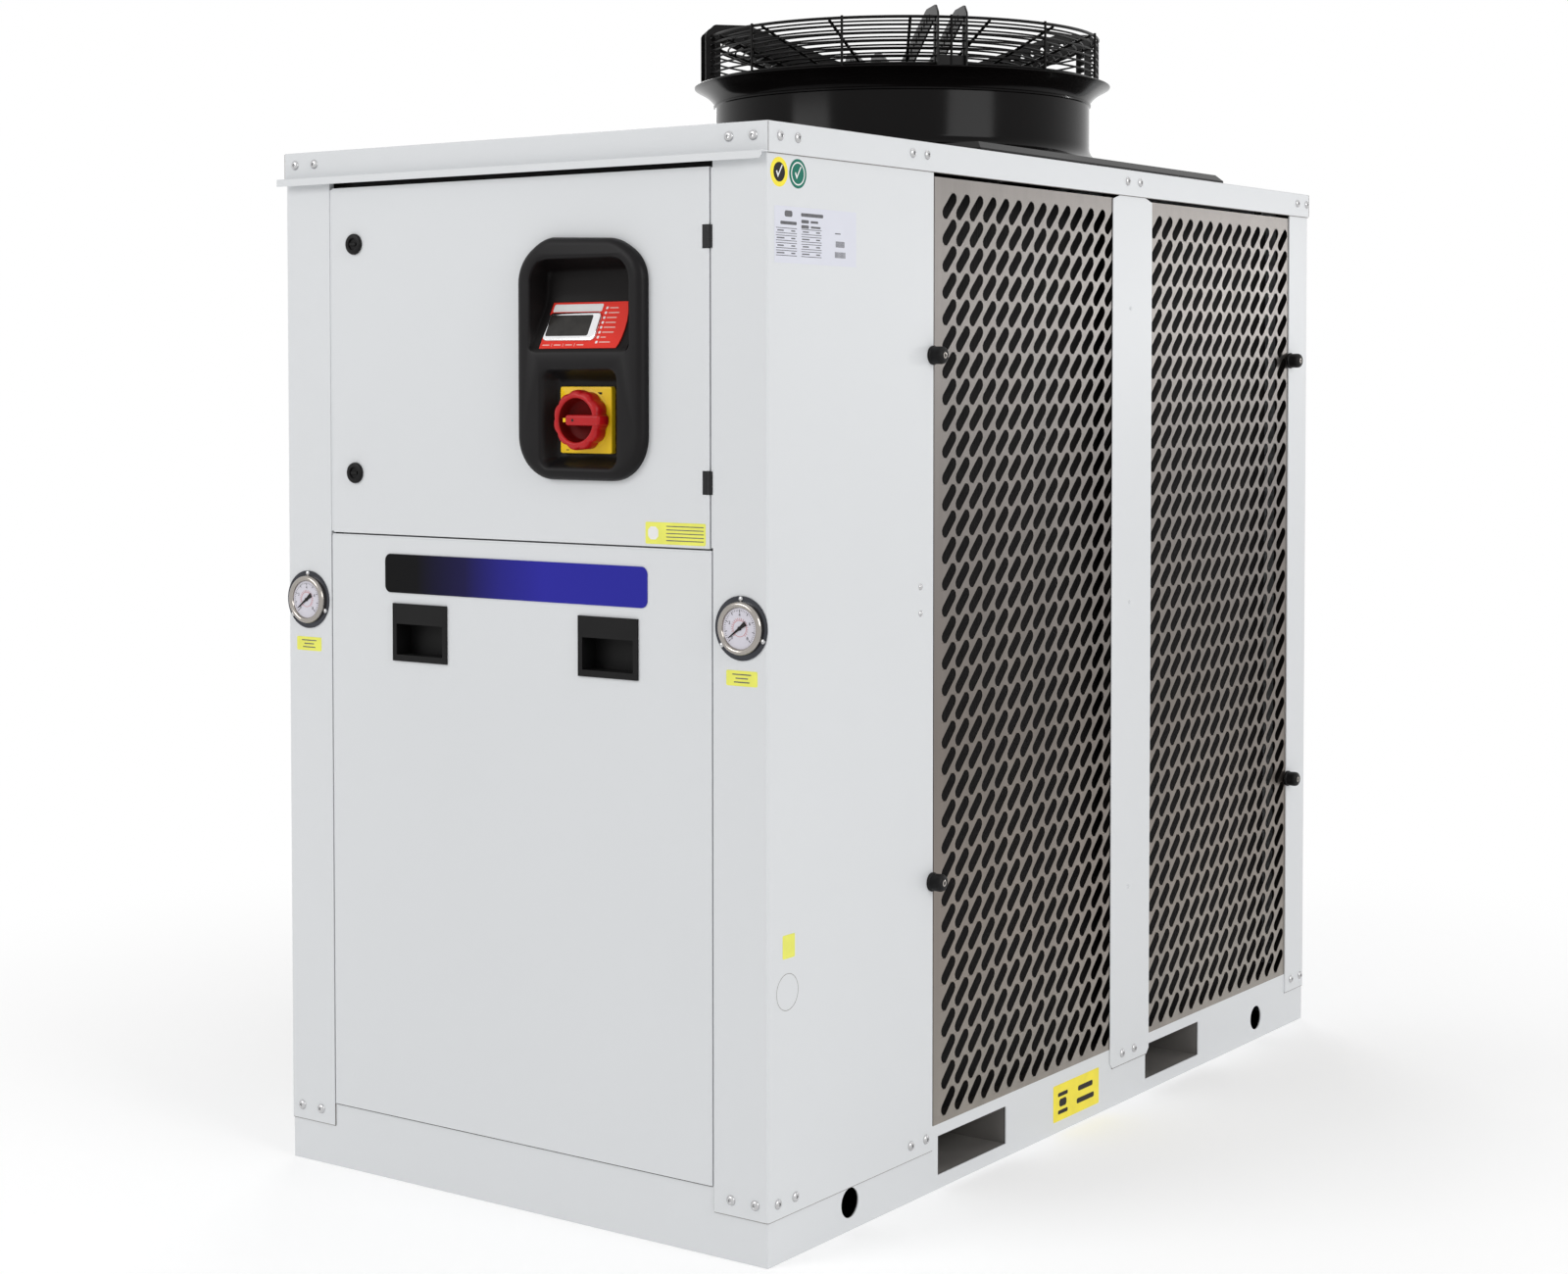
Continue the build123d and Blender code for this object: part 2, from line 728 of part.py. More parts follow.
pressure_gauge_right = gauge(1)
save(pressure_gauge_right, "pressure_gauge_right")
pressure_gauge_left = gauge(-1)
save(pressure_gauge_left, "pressure_gauge_left")

# clamping knobs at the outer edges of the grilles
with BuildPart() as grille_knobs:
    front_edge = -skin_y + front_side_leg - clamp_edge
    rear_edge = skin_y - rear_side_leg + clamp_edge
    for way in (-1, 1):
        for y in (front_edge, rear_edge):
            for z in (floor_z + clamp_bottom_inset, grille_top - clamp_top_inset):
                rod(clamp_diameter / 2, clamp_length, way * (skin_x + clamp_length / 2), y, z,
                    "X")
save(grille_knobs, "grille_knobs")

# fan plate on the roof
plate_top = cabinet_height + plate_height
with BuildPart() as fan_plate:
    with Locations((0, fan_y, cabinet_height + plate_height / 2)):
        Box(plate_size, plate_size, plate_height)
    chamfer(fan_plate.faces().sort_by(Axis.Z)[-1].edges(), plate_bevel)
    offset_in = plate_size - 2 * plate_bevel - 4 * plate_sheet
    with Locations((0, fan_y, cabinet_height + (plate_height - plate_sheet) / 2)):
        Box(offset_in, offset_in, plate_height - plate_sheet, mode=Mode.SUBTRACT)
    rod(shroud_radius - shroud_wall, 4 * plate_height, 0, fan_y, plate_top, "Z", Mode.SUBTRACT)
save(fan_plate, "fan_plate")

# shroud: a tube with a flared foot and a collar at the top
collar_low = shroud_top - collar_height
shroud_in = shroud_radius - shroud_wall
with BuildPart() as fan_shroud:
    with BuildSketch(Plane.XZ.offset(-fan_y)):
        with BuildLine():
            Polyline((shroud_in, plate_top), (shroud_radius + flare_radius, plate_top),
                     (shroud_radius + flare_radius, plate_top + shroud_wall))
            ThreePointArc((shroud_radius + flare_radius, plate_top + shroud_wall),
                          (shroud_radius + flare_radius * (1 - sin(radians(45))),
                           plate_top + shroud_wall + flare_height * (1 - cos(radians(45)))),
                          (shroud_radius, plate_top + shroud_wall + flare_height))
            Polyline((shroud_radius, plate_top + shroud_wall + flare_height),
                     (shroud_radius, collar_low), (collar_radius, collar_low),
                     (collar_radius, shroud_top), (shroud_in, shroud_top),
                     (shroud_in, plate_top))
        make_face()
    revolve(axis=Axis((0, fan_y, 0), (0, 0, 1)))
save(fan_shroud, "fan_shroud")


def cone_height(r):
    """Height of the dished guard at a radius."""
    return guard_top - guard_slope * (guard_radius - r)


# support arms: four pairs of upright plates
guard_half = guard_wire / 2
arm_in = arm_radius - arm_leg
with BuildPart() as fan_arms:
    for quarter in range(4):
        heading = 45.0 + 90.0 * quarter + fan_turn
        for way in (-1, 1):
            shift = way * (arm_gap + arm_sheet) / 2
            across = (-sin(radians(heading)), cos(radians(heading)), 0)
            frame = Plane(origin=(across[0] * shift, fan_y + across[1] * shift, 0),
                          x_dir=(cos(radians(heading)), sin(radians(heading)), 0),
                          z_dir=(sin(radians(heading)), -cos(radians(heading)), 0))
            with BuildSketch(frame):
                with BuildLine():
                    Polyline((collar_radius, arm_bottom), (lug_radius, arm_bottom),
                             (lug_radius, arm_bottom + lug_height),
                             (arm_radius, arm_bottom + 2 * lug_height),
                             (arm_radius, arm_top - arm_chamfer_z),
                             (arm_radius - arm_chamfer_r, arm_top),
                             (arm_flat_radius, arm_top),
                             (arm_inner_radius, cone_height(guard_inner_radius)
                              + guard_half + arm_inner_height),
                             (arm_inner_radius, cone_height(guard_inner_radius) - guard_half),
                             (guard_inner_radius - guard_wire,
                              cone_height(guard_inner_radius) - guard_half),
                             (guard_inner_radius - guard_wire,
                              cone_height(guard_inner_radius) + guard_half + 2),
                             (arm_in, cone_height(arm_in) + guard_half + 2),
                             (arm_in, shroud_top), (collar_radius, shroud_top),
                             close=True)
                make_face()
            extrude(amount=arm_sheet / 2, both=True)
save(fan_arms, "fan_arms")


ring_sizes = [(guard_radius, guard_top - level * guard_side_pitch)
              for level in range(guard_side_rings)]
ring_step = (guard_radius - guard_inner_radius) / guard_top_rings
ring_sizes += [(guard_inner_radius + level * ring_step,
                cone_height(guard_inner_radius + level * ring_step))
               for level in range(guard_top_rings)]

# guard: a basket of rings with upright bars and a dished top
with BuildPart() as fan_guard:
    for radius, z in ring_sizes:
        with BuildSketch(Plane.XY.offset(z - guard_half)):
            with Locations((0, fan_y)):
                Circle(radius + guard_half)
                Circle(radius - guard_half, mode=Mode.SUBTRACT)
        extrude(amount=guard_wire)
    for count in range(guard_spokes):
        heading = 360.0 / guard_spokes * (count + 0.5) + fan_turn
        frame = Plane(origin=(0, fan_y, 0),
                      x_dir=(cos(radians(heading)), sin(radians(heading)), 0),
                      z_dir=(sin(radians(heading)), -cos(radians(heading)), 0))
        low = cone_height(guard_inner_radius)
        with BuildSketch(frame):
            with BuildLine():
                Polyline((guard_inner_radius, low - guard_half),
                         (guard_radius, guard_top - guard_half),
                         (guard_radius, guard_top + guard_half),
                         (guard_inner_radius, low + guard_half), close=True)
            make_face()
        extrude(amount=guard_half, both=True)
    for count in range(guard_side_bars):
        heading = 360.0 / guard_side_bars * (count + 0.5) + fan_turn
        spot = Location((guard_radius * cos(radians(heading)),
                         fan_y + guard_radius * sin(radians(heading)),
                         (shroud_top + guard_top + guard_half) / 2), (0, 0, heading))
        with Locations(spot):
            Box(guard_wire, guard_wire, guard_top + guard_half - shroud_top)
    add(fan_arms.part, mode=Mode.SUBTRACT)
save(fan_guard, "fan_guard")

# motor under the guard
flange_top = cone_height(guard_inner_radius) - guard_half
flange_low = flange_top - motor_flange_thickness
motor_low = flange_low - motor_length
hub_top = motor_low - hub_gap
hub_low = hub_top - hub_height
with BuildPart() as fan_motor:
    with Locations((0, fan_y, (flange_low + flange_top) / 2)):
        Cylinder(motor_flange_radius, motor_flange_thickness)
    with Locations((0, fan_y, (motor_low + flange_low) / 2)):
        Cylinder(motor_radius, motor_length)
    with Locations((0, fan_y, (hub_low + motor_low) / 2)):
        Cylinder(motor_shaft_radius, motor_low - hub_low)
save(fan_motor, "fan_motor")

# impeller: a hub with swept blades
blade_tip = shroud_in - blade_tip_gap
with BuildPart() as fan_impeller:
    with Locations((0, fan_y, (hub_low + hub_top) / 2)):
        Cylinder(hub_radius, hub_height)
    for count in range(blade_count):
        heading = radians(360.0 / blade_count * count)
        centre = hub_low + hub_height / 2
        with BuildSketch(Plane(origin=(0, fan_y, centre),
                               x_dir=(-sin(heading), cos(heading), 0),
                               z_dir=(cos(heading), sin(heading), 0)).offset(
                                   hub_radius - 3 * blade_root_sink)):
            with BuildLine():
                Polyline((-blade_span, -blade_rise / 2),
                         (blade_span, blade_rise / 2 - blade_sheet),
                         (blade_span, blade_rise / 2),
                         (-blade_span, -blade_rise / 2 + blade_sheet), close=True)
            make_face()
        extrude(amount=shroud_radius - hub_radius)
    with BuildSketch(Plane.XY.offset(hub_low - hub_height)):
        with Locations((0, fan_y)):
            Circle(blade_tip)
    extrude(amount=3 * hub_height, mode=Mode.INTERSECT)
    with Locations((0, fan_y, (hub_low + hub_top) / 2)):
        Cylinder(motor_shaft_radius + motor_shaft_clearance, hub_height, mode=Mode.SUBTRACT)
save(fan_impeller, "fan_impeller")
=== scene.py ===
"""Looks of a process water chiller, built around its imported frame. Sizes are in mm about the
middle of the cabinet, as in the part's source, and place() turns them into the shared frame."""

import math

import bmesh
import bpy
from mathutils import Euler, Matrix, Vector
from mathutils.geometry import tessellate_polygon


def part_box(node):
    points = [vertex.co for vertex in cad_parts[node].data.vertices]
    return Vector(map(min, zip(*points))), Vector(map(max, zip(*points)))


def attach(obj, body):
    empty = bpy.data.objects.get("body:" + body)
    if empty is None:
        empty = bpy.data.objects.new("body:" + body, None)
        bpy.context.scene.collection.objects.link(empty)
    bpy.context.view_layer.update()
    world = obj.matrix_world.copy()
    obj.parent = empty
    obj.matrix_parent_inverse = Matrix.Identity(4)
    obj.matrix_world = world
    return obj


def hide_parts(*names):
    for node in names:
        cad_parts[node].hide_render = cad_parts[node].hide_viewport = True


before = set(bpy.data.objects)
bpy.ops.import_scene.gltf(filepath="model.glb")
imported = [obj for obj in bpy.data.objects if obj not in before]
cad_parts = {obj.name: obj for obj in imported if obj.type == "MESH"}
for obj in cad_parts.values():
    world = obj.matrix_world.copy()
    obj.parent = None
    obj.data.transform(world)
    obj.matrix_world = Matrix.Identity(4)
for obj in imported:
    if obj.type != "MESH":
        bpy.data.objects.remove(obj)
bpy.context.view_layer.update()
scene = bpy.context.scene
cap_low, cap_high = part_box("roof_cap")
SHIFT = 500.0 * (cap_low.y + cap_high.y)
PI = math.pi


def place(p):
    return Vector((p[0] / 1000.0, (p[1] + SHIFT) / 1000.0, p[2] / 1000.0))


# camera
cam_data = bpy.data.cameras.new("camera")
cam = bpy.data.objects.new("camera", cam_data)
scene.collection.objects.link(cam)
cam_data.sensor_width = 36.0
cam_data.sensor_fit = "HORIZONTAL"
cam_data.lens = 60.034
cam_data.shift_x = -0.02368
cam_data.shift_y = -0.10521
cam_data.clip_end = 100.0
cam.location = place((2405.45, -2697.79 - 820.0, 1147.38))
cam.rotation_euler = Euler((math.radians(90.0 - 1.98346), 0.0, math.radians(34.93885)), "XYZ")
scene.camera = cam


# materials
def nodes_of(mat):
    mat.use_nodes = True
    tree = mat.node_tree
    return tree, tree.nodes, tree.links, tree.nodes["Principled BSDF"]


def spread_stops(bar, stops):
    while len(bar.elements) < len(stops):
        bar.elements.new(0.5)
    for spot, (where, color) in zip(bar.elements, stops):
        spot.position = where
        spot.color = list(color) + [1.0]


# painted reflection: the grille colour is banded by height, lighter low down and near the roof,
# like the hall that the sheet mirrors
GRILLE_PAINTED_REFLECTION = ((0.06, (0.66, 0.64, 0.61)), (0.22, (0.52, 0.48, 0.45)), (0.42, (0.38, 0.35, 0.33)),
               (0.62, (0.42, 0.40, 0.395)), (0.78, (0.45, 0.44, 0.44)), (0.93, (0.50, 0.49, 0.49)))


def finish_of(name, color, rough, metal=0.0, vary=0.04, vary_scale=3.0, rough_vary=0.06,
              bump=0.05, bump_scale=900.0, stretch=(1, 1, 1), coat=0.0, coat_rough=0.08,
              specular=0.5, depth=0.0004, fade=None):
    """A procedural finish: colour and roughness drift with noise, and a fine bump; fade, when
    given, bands the colour by height, a painted reflection.
    """
    mat = bpy.data.materials.new(name)
    tree, nodes, links, shader = nodes_of(mat)
    shader.inputs["Metallic"].default_value = metal
    shader.inputs["Coat Weight"].default_value = coat
    shader.inputs["Coat Roughness"].default_value = coat_rough
    shader.inputs["Specular IOR Level"].default_value = specular
    coords = nodes.new("ShaderNodeTexCoord")
    scale = nodes.new("ShaderNodeMapping")
    scale.inputs["Scale"].default_value = stretch
    links.new(coords.outputs["Object"], scale.inputs["Vector"])
    drift = nodes.new("ShaderNodeTexNoise")
    drift.inputs["Scale"].default_value = vary_scale
    drift.inputs["Detail"].default_value = 4.0
    links.new(scale.outputs["Vector"], drift.inputs["Vector"])
    ramp = nodes.new("ShaderNodeValToRGB")
    ramp.color_ramp.elements[0].position = 0.3
    ramp.color_ramp.elements[1].position = 0.7
    ramp.color_ramp.elements[0].color = [c * (1.0 - vary) for c in color] + [1.0]
    ramp.color_ramp.elements[1].color = [min(1.0, c * (1.0 + vary)) for c in color] + [1.0]
    links.new(drift.outputs["Fac"], ramp.inputs["Fac"])
    links.new(ramp.outputs["Color"], shader.inputs["Base Color"])
    # painted reflection: colour bands by height multiply the base colour
    if fade:
        split = nodes.new("ShaderNodeSeparateXYZ")
        links.new(coords.outputs["Object"], split.inputs["Vector"])
        tall = nodes.new("ShaderNodeMapRange")
        tall.inputs["From Max"].default_value = 1.5
        links.new(split.outputs["Z"], tall.inputs["Value"])
        painted_reflection_bands = nodes.new("ShaderNodeValToRGB")
        spread_stops(painted_reflection_bands.color_ramp, fade)
        links.new(tall.outputs["Result"], painted_reflection_bands.inputs["Fac"])
        painted_reflection_tint = nodes.new("ShaderNodeMix")
        painted_reflection_tint.data_type = "RGBA"
        painted_reflection_tint.blend_type = "MULTIPLY"
        painted_reflection_tint.inputs["Factor"].default_value = 1.0
        links.new(ramp.outputs["Color"], painted_reflection_tint.inputs["A"])
        links.new(painted_reflection_bands.outputs["Color"], painted_reflection_tint.inputs["B"])
        links.new(painted_reflection_tint.outputs["Result"], shader.inputs["Base Color"])
    span = nodes.new("ShaderNodeMapRange")
    span.inputs["To Min"].default_value = max(0.02, rough - rough_vary)
    span.inputs["To Max"].default_value = min(1.0, rough + rough_vary)
    links.new(drift.outputs["Fac"], span.inputs["Value"])
    links.new(span.outputs["Result"], shader.inputs["Roughness"])
    if bump:
        grain = nodes.new("ShaderNodeTexNoise")
        grain.inputs["Scale"].default_value = bump_scale
        grain.inputs["Detail"].default_value = 2.0
        links.new(scale.outputs["Vector"], grain.inputs["Vector"])
        relief = nodes.new("ShaderNodeBump")
        relief.inputs["Strength"].default_value = bump
        relief.inputs["Distance"].default_value = depth
        links.new(grain.outputs["Fac"], relief.inputs["Height"])
        links.new(relief.outputs["Normal"], shader.inputs["Normal"])
    return mat


paint = finish_of("grey_powder_coat", (0.70, 0.715, 0.73), 0.36, vary=0.012, vary_scale=1.6,
                  bump=0.10, bump_scale=700.0)
# painted shade: a near-black coat for post flanges and gaps, where shade falls
painted_shade_coat = finish_of("painted_shade_inside_coat", (0.022, 0.019, 0.017), 0.6, vary=0.2, vary_scale=9.0,
                       bump=0.2, bump_scale=400.0, specular=0.2)
# painted shade: the fork pocket insides are a dark grey, as they lie in shade
pocket_painted_shade = finish_of("fork_pocket_painted_shade", (0.20, 0.19, 0.18), 0.55, vary=0.15, vary_scale=9.0,
                        bump=0.2, bump_scale=400.0, specular=0.2)
inner_paint = finish_of("box_powder_coat", (0.66, 0.675, 0.69), 0.42, vary=0.02, bump=0.1,
                        bump_scale=700.0)
# brushed stainless whose colour is banded by height, a painted reflection of the hall
stainless = finish_of("brushed_stainless_painted_reflection", (0.46, 0.435, 0.41), 0.33, metal=1.0, vary=0.10,
                      vary_scale=4.0, rough_vary=0.09, bump=0.20, bump_scale=260.0,
                      stretch=(1, 7, 0.35), fade=GRILLE_PAINTED_REFLECTION)
coil_black = finish_of("coated_fins", (0.010, 0.009, 0.009), 0.7, vary=0.25, vary_scale=20.0,
                       bump=0.6, bump_scale=420.0, stretch=(1, 1, 0.02), depth=0.001,
                       specular=0.15)
plastic = finish_of("black_plastic", (0.0068, 0.0066, 0.0068), 0.44, vary=0.12,
                    vary_scale=30.0, bump=0.2, bump_scale=1500.0, specular=0.15)
bezel_plastic = finish_of("bezel_plastic", (0.0068, 0.0060, 0.0066), 0.42, vary=0.10,
                          vary_scale=14.0, bump=0.15, bump_scale=1300.0, specular=0.16)
# painted shade: a darker, duller bezel plastic for the inside of the upper recess
bezel_painted_shade = finish_of("bezel_recess_painted_shade", (0.0056, 0.0046, 0.0046), 0.45, vary=0.10,
                        vary_scale=14.0, bump=0.15, bump_scale=1300.0, specular=0.10)
black_metal = finish_of("black_hinge_coat", (0.009, 0.009, 0.010), 0.42, vary=0.1, bump=0.1,
                        specular=0.25)
gloss_black = finish_of("gloss_black_coat", (0.0040, 0.0034, 0.0034), 0.15, vary=0.2,
                        vary_scale=8.0, rough_vary=0.05, bump=0.05, bump_scale=160.0,
                        specular=0.10)
wire_black = finish_of("wire_black_coat", (0.0045, 0.0040, 0.0040), 0.34, vary=0.2, bump=0.05,
                       bump_scale=600.0, specular=0.12)
blade_black = finish_of("blade_black_coat", (0.009, 0.009, 0.010), 0.36, vary=0.2, bump=0.1,
                        bump_scale=500.0, specular=0.25)
motor_black = finish_of("motor_casting", (0.012, 0.012, 0.013), 0.5, vary=0.15, bump=0.4,
                        bump_scale=500.0, specular=0.25)
steel = finish_of("polished_steel", (0.36, 0.335, 0.31), 0.17, metal=1.0, vary=0.06,
                  vary_scale=30.0, rough_vary=0.06, bump=0.05, bump_scale=900.0)
# painted reflection: the mirror-like flange steel is near black, as the dark hall it reflects
flange_painted_reflection = finish_of("flange_steel_painted_reflection", (0.056, 0.058, 0.066), 0.15, metal=1.0, vary=0.15,
                       vary_scale=25.0, rough_vary=0.05, bump=0.05, bump_scale=900.0)
zinc = finish_of("zinc_screw", (0.52, 0.52, 0.525), 0.27, metal=1.0, vary=0.05,
                 vary_scale=60.0, rough_vary=0.06, bump=0.05, bump_scale=1200.0)
red_plastic = finish_of("red_switch_plastic", (0.46, 0.006, 0.009), 0.36, vary=0.08,
                        vary_scale=20.0, bump=0.06, bump_scale=900.0, specular=0.3)
# painted shade: a dark red for the well inside the handle ring
red_well_painted_shade = finish_of("red_switch_well_painted_shade", (0.115, 0.0035, 0.0030), 0.5, vary=0.12,
                      vary_scale=20.0, bump=0.06, bump_scale=900.0, specular=0.08)
yellow_plastic = finish_of("yellow_switch_plastic", (0.92, 0.60, 0.006), 0.34, vary=0.04,
                           vary_scale=20.0, bump=0.05, bump_scale=900.0, specular=0.3)
red_film = finish_of("red_label_film", (0.80, 0.034, 0.020), 0.30, vary=0.04, vary_scale=20.0,
                     bump=0.03, bump_scale=600.0, specular=0.2)
white_ink = finish_of("white_ink", (0.82, 0.82, 0.81), 0.35, vary=0.03, vary_scale=40.0,
                      bump=0.02)
pale_ink = finish_of("pale_ink", (0.80, 0.52, 0.46), 0.35, vary=0.08, vary_scale=120.0,
                     bump=0.02)
dark_ink = finish_of("dark_ink", (0.012, 0.010, 0.010), 0.5, vary=0.2, vary_scale=60.0,
                     bump=0.02, specular=0.2)
grey_ink = finish_of("grey_ink", (0.10, 0.10, 0.11), 0.45, vary=0.3, vary_scale=160.0,
                     bump=0.02)
screen = finish_of("display_window", (0.026, 0.024, 0.022), 0.20, vary=0.25, vary_scale=60.0,
                   bump=0.03, bump_scale=300.0, specular=0.2)
chrome = finish_of("display_frame", (0.80, 0.80, 0.81), 0.12, metal=1.0, vary=0.05,
                   vary_scale=60.0, bump=0.04, bump_scale=300.0)
yellow_film = finish_of("yellow_label_film", (0.82, 0.82, 0.12), 0.42, vary=0.05,
                        vary_scale=40.0, bump=0.04, bump_scale=600.0)
orange_film = finish_of("amber_label_film", (0.93, 0.78, 0.03), 0.42, vary=0.05,
                        vary_scale=40.0, bump=0.04, bump_scale=600.0)
green_film = finish_of("green_label_film", (0.004, 0.155, 0.105), 0.42, vary=0.08,
                       vary_scale=40.0, bump=0.04, bump_scale=600.0, specular=0.2)
white_film = finish_of("white_label_film", (0.69, 0.70, 0.775), 0.40, vary=0.02, vary_scale=20.0,
                       bump=0.04, bump_scale=600.0)
dial_face = finish_of("dial_enamel", (0.64, 0.62, 0.69), 0.45, vary=0.03, vary_scale=30.0,
                      bump=0.03, bump_scale=600.0, coat=1.0, coat_rough=0.03)
red_ink = finish_of("red_ink", (0.55, 0.16, 0.16), 0.45, vary=0.1, vary_scale=60.0, bump=0.02)
# painted shadow: a dark taupe for thin strips where gaps between sheets cast shade
painted_shadow_line = finish_of("painted_seam_shadow", (0.20, 0.185, 0.175), 0.6, vary=0.1, vary_scale=20.0, bump=0.05)


def brand_finish():
    """A bare glossy film that runs from black to blue across its length."""
    mat = bpy.data.materials.new("brand_film")
    tree, nodes, links, shader = nodes_of(mat)
    shader.inputs["Specular IOR Level"].default_value = 0.08
    soft = nodes.new("ShaderNodeTexNoise")
    soft.inputs["Scale"].default_value = 30.0
    span = nodes.new("ShaderNodeMapRange")
    span.inputs["To Min"].default_value = 0.24
    span.inputs["To Max"].default_value = 0.36
    links.new(soft.outputs["Fac"], span.inputs["Value"])
    links.new(span.outputs["Result"], shader.inputs["Roughness"])
    coords = nodes.new("ShaderNodeTexCoord")
    split = nodes.new("ShaderNodeSeparateXYZ")
    links.new(coords.outputs["Object"], split.inputs["Vector"])
    run = nodes.new("ShaderNodeMapRange")
    run.inputs["From Min"].default_value = -0.239
    run.inputs["From Max"].default_value = 0.239
    links.new(split.outputs["X"], run.inputs["Value"])
    ramp = nodes.new("ShaderNodeValToRGB")
    stops = ((0.0, (0.004, 0.004, 0.004)), (0.13, (0.004, 0.004, 0.005)),
             (0.32, (0.012, 0.010, 0.060)), (0.46, (0.022, 0.020, 0.22)),
             (0.62, (0.028, 0.026, 0.33)), (1.0, (0.026, 0.026, 0.32)))
    spread_stops(ramp.color_ramp, stops)
    links.new(run.outputs["Result"], ramp.inputs["Fac"])
    links.new(ramp.outputs["Color"], shader.inputs["Base Color"])
    grain = nodes.new("ShaderNodeTexNoise")
    grain.inputs["Scale"].default_value = 500.0
    links.new(coords.outputs["Object"], grain.inputs["Vector"])
    relief = nodes.new("ShaderNodeBump")
    relief.inputs["Strength"].default_value = 0.03
    relief.inputs["Distance"].default_value = 0.0003
    links.new(grain.outputs["Fac"], relief.inputs["Height"])
    links.new(relief.outputs["Normal"], shader.inputs["Normal"])
    return mat


brand_film = brand_finish()


def coat_with_painted_shade_inside():
    """The powder coat on faces that look out of the cabinet, and near black inside it, a painted
    shade.
    """
    mat = paint.copy()
    mat.name = "powder_coat_painted_shade_inside"
    tree, nodes, links, shader = nodes_of(mat)
    coat = shader.inputs["Base Color"].links[0].from_socket
    coords = nodes.new("ShaderNodeTexCoord")
    split = nodes.new("ShaderNodeSeparateXYZ")
    links.new(coords.outputs["Object"], split.inputs["Vector"])
    sides = []
    for axis, middle, half in (("X", 0.0, 0.4322), ("Y", SHIFT / 1000.0, 0.8085)):
        away = nodes.new("ShaderNodeMath")
        away.operation = "SUBTRACT"
        away.inputs[1].default_value = middle
        links.new(split.outputs[axis], away.inputs[0])
        size = nodes.new("ShaderNodeMath")
        size.operation = "ABSOLUTE"
        links.new(away.outputs[0], size.inputs[0])
        past = nodes.new("ShaderNodeMath")
        past.operation = "GREATER_THAN"
        past.inputs[1].default_value = half
        links.new(size.outputs[0], past.inputs[0])
        sides.append(past)
    either = nodes.new("ShaderNodeMath")
    either.operation = "MAXIMUM"
    links.new(sides[0].outputs[0], either.inputs[0])
    links.new(sides[1].outputs[0], either.inputs[1])
    # painted shade: faces inside the cabinet get a near-black colour in place of the coat
    mix = nodes.new("ShaderNodeMix")
    mix.data_type = "RGBA"
    mix.inputs["A"].default_value = (0.022, 0.019, 0.017, 1.0)
    links.new(either.outputs[0], mix.inputs["Factor"])
    links.new(coat, mix.inputs["B"])
    links.new(mix.outputs["Result"], shader.inputs["Base Color"])
    return mat


paint_with_painted_shade_inside = coat_with_painted_shade_inside()


# mesh helpers
class Plane:
    """A place to draw on: a and b run along the face, c stands out from it."""

    def __init__(self, origin, u, v):
        self.o = Vector(origin)
        self.u = Vector(u).normalized()
        self.v = Vector(v).normalized()
        self.w = self.u.cross(self.v)

    def at(self, a, b, c=0.0):
        return self.o + self.u * a + self.v * b + self.w * c


def on_front(x, z, y=-818.0):
    return Plane((x, y, z), (1, 0, 0), (0, 0, 1))


def on_back(x, z, y=818.0):
    return Plane((x, y, z), (-1, 0, 0), (0, 0, 1))


def on_side(way, y, z, x=436.0):
    return Plane((way * x, y, z), (0, way, 0), (0, 0, 1))


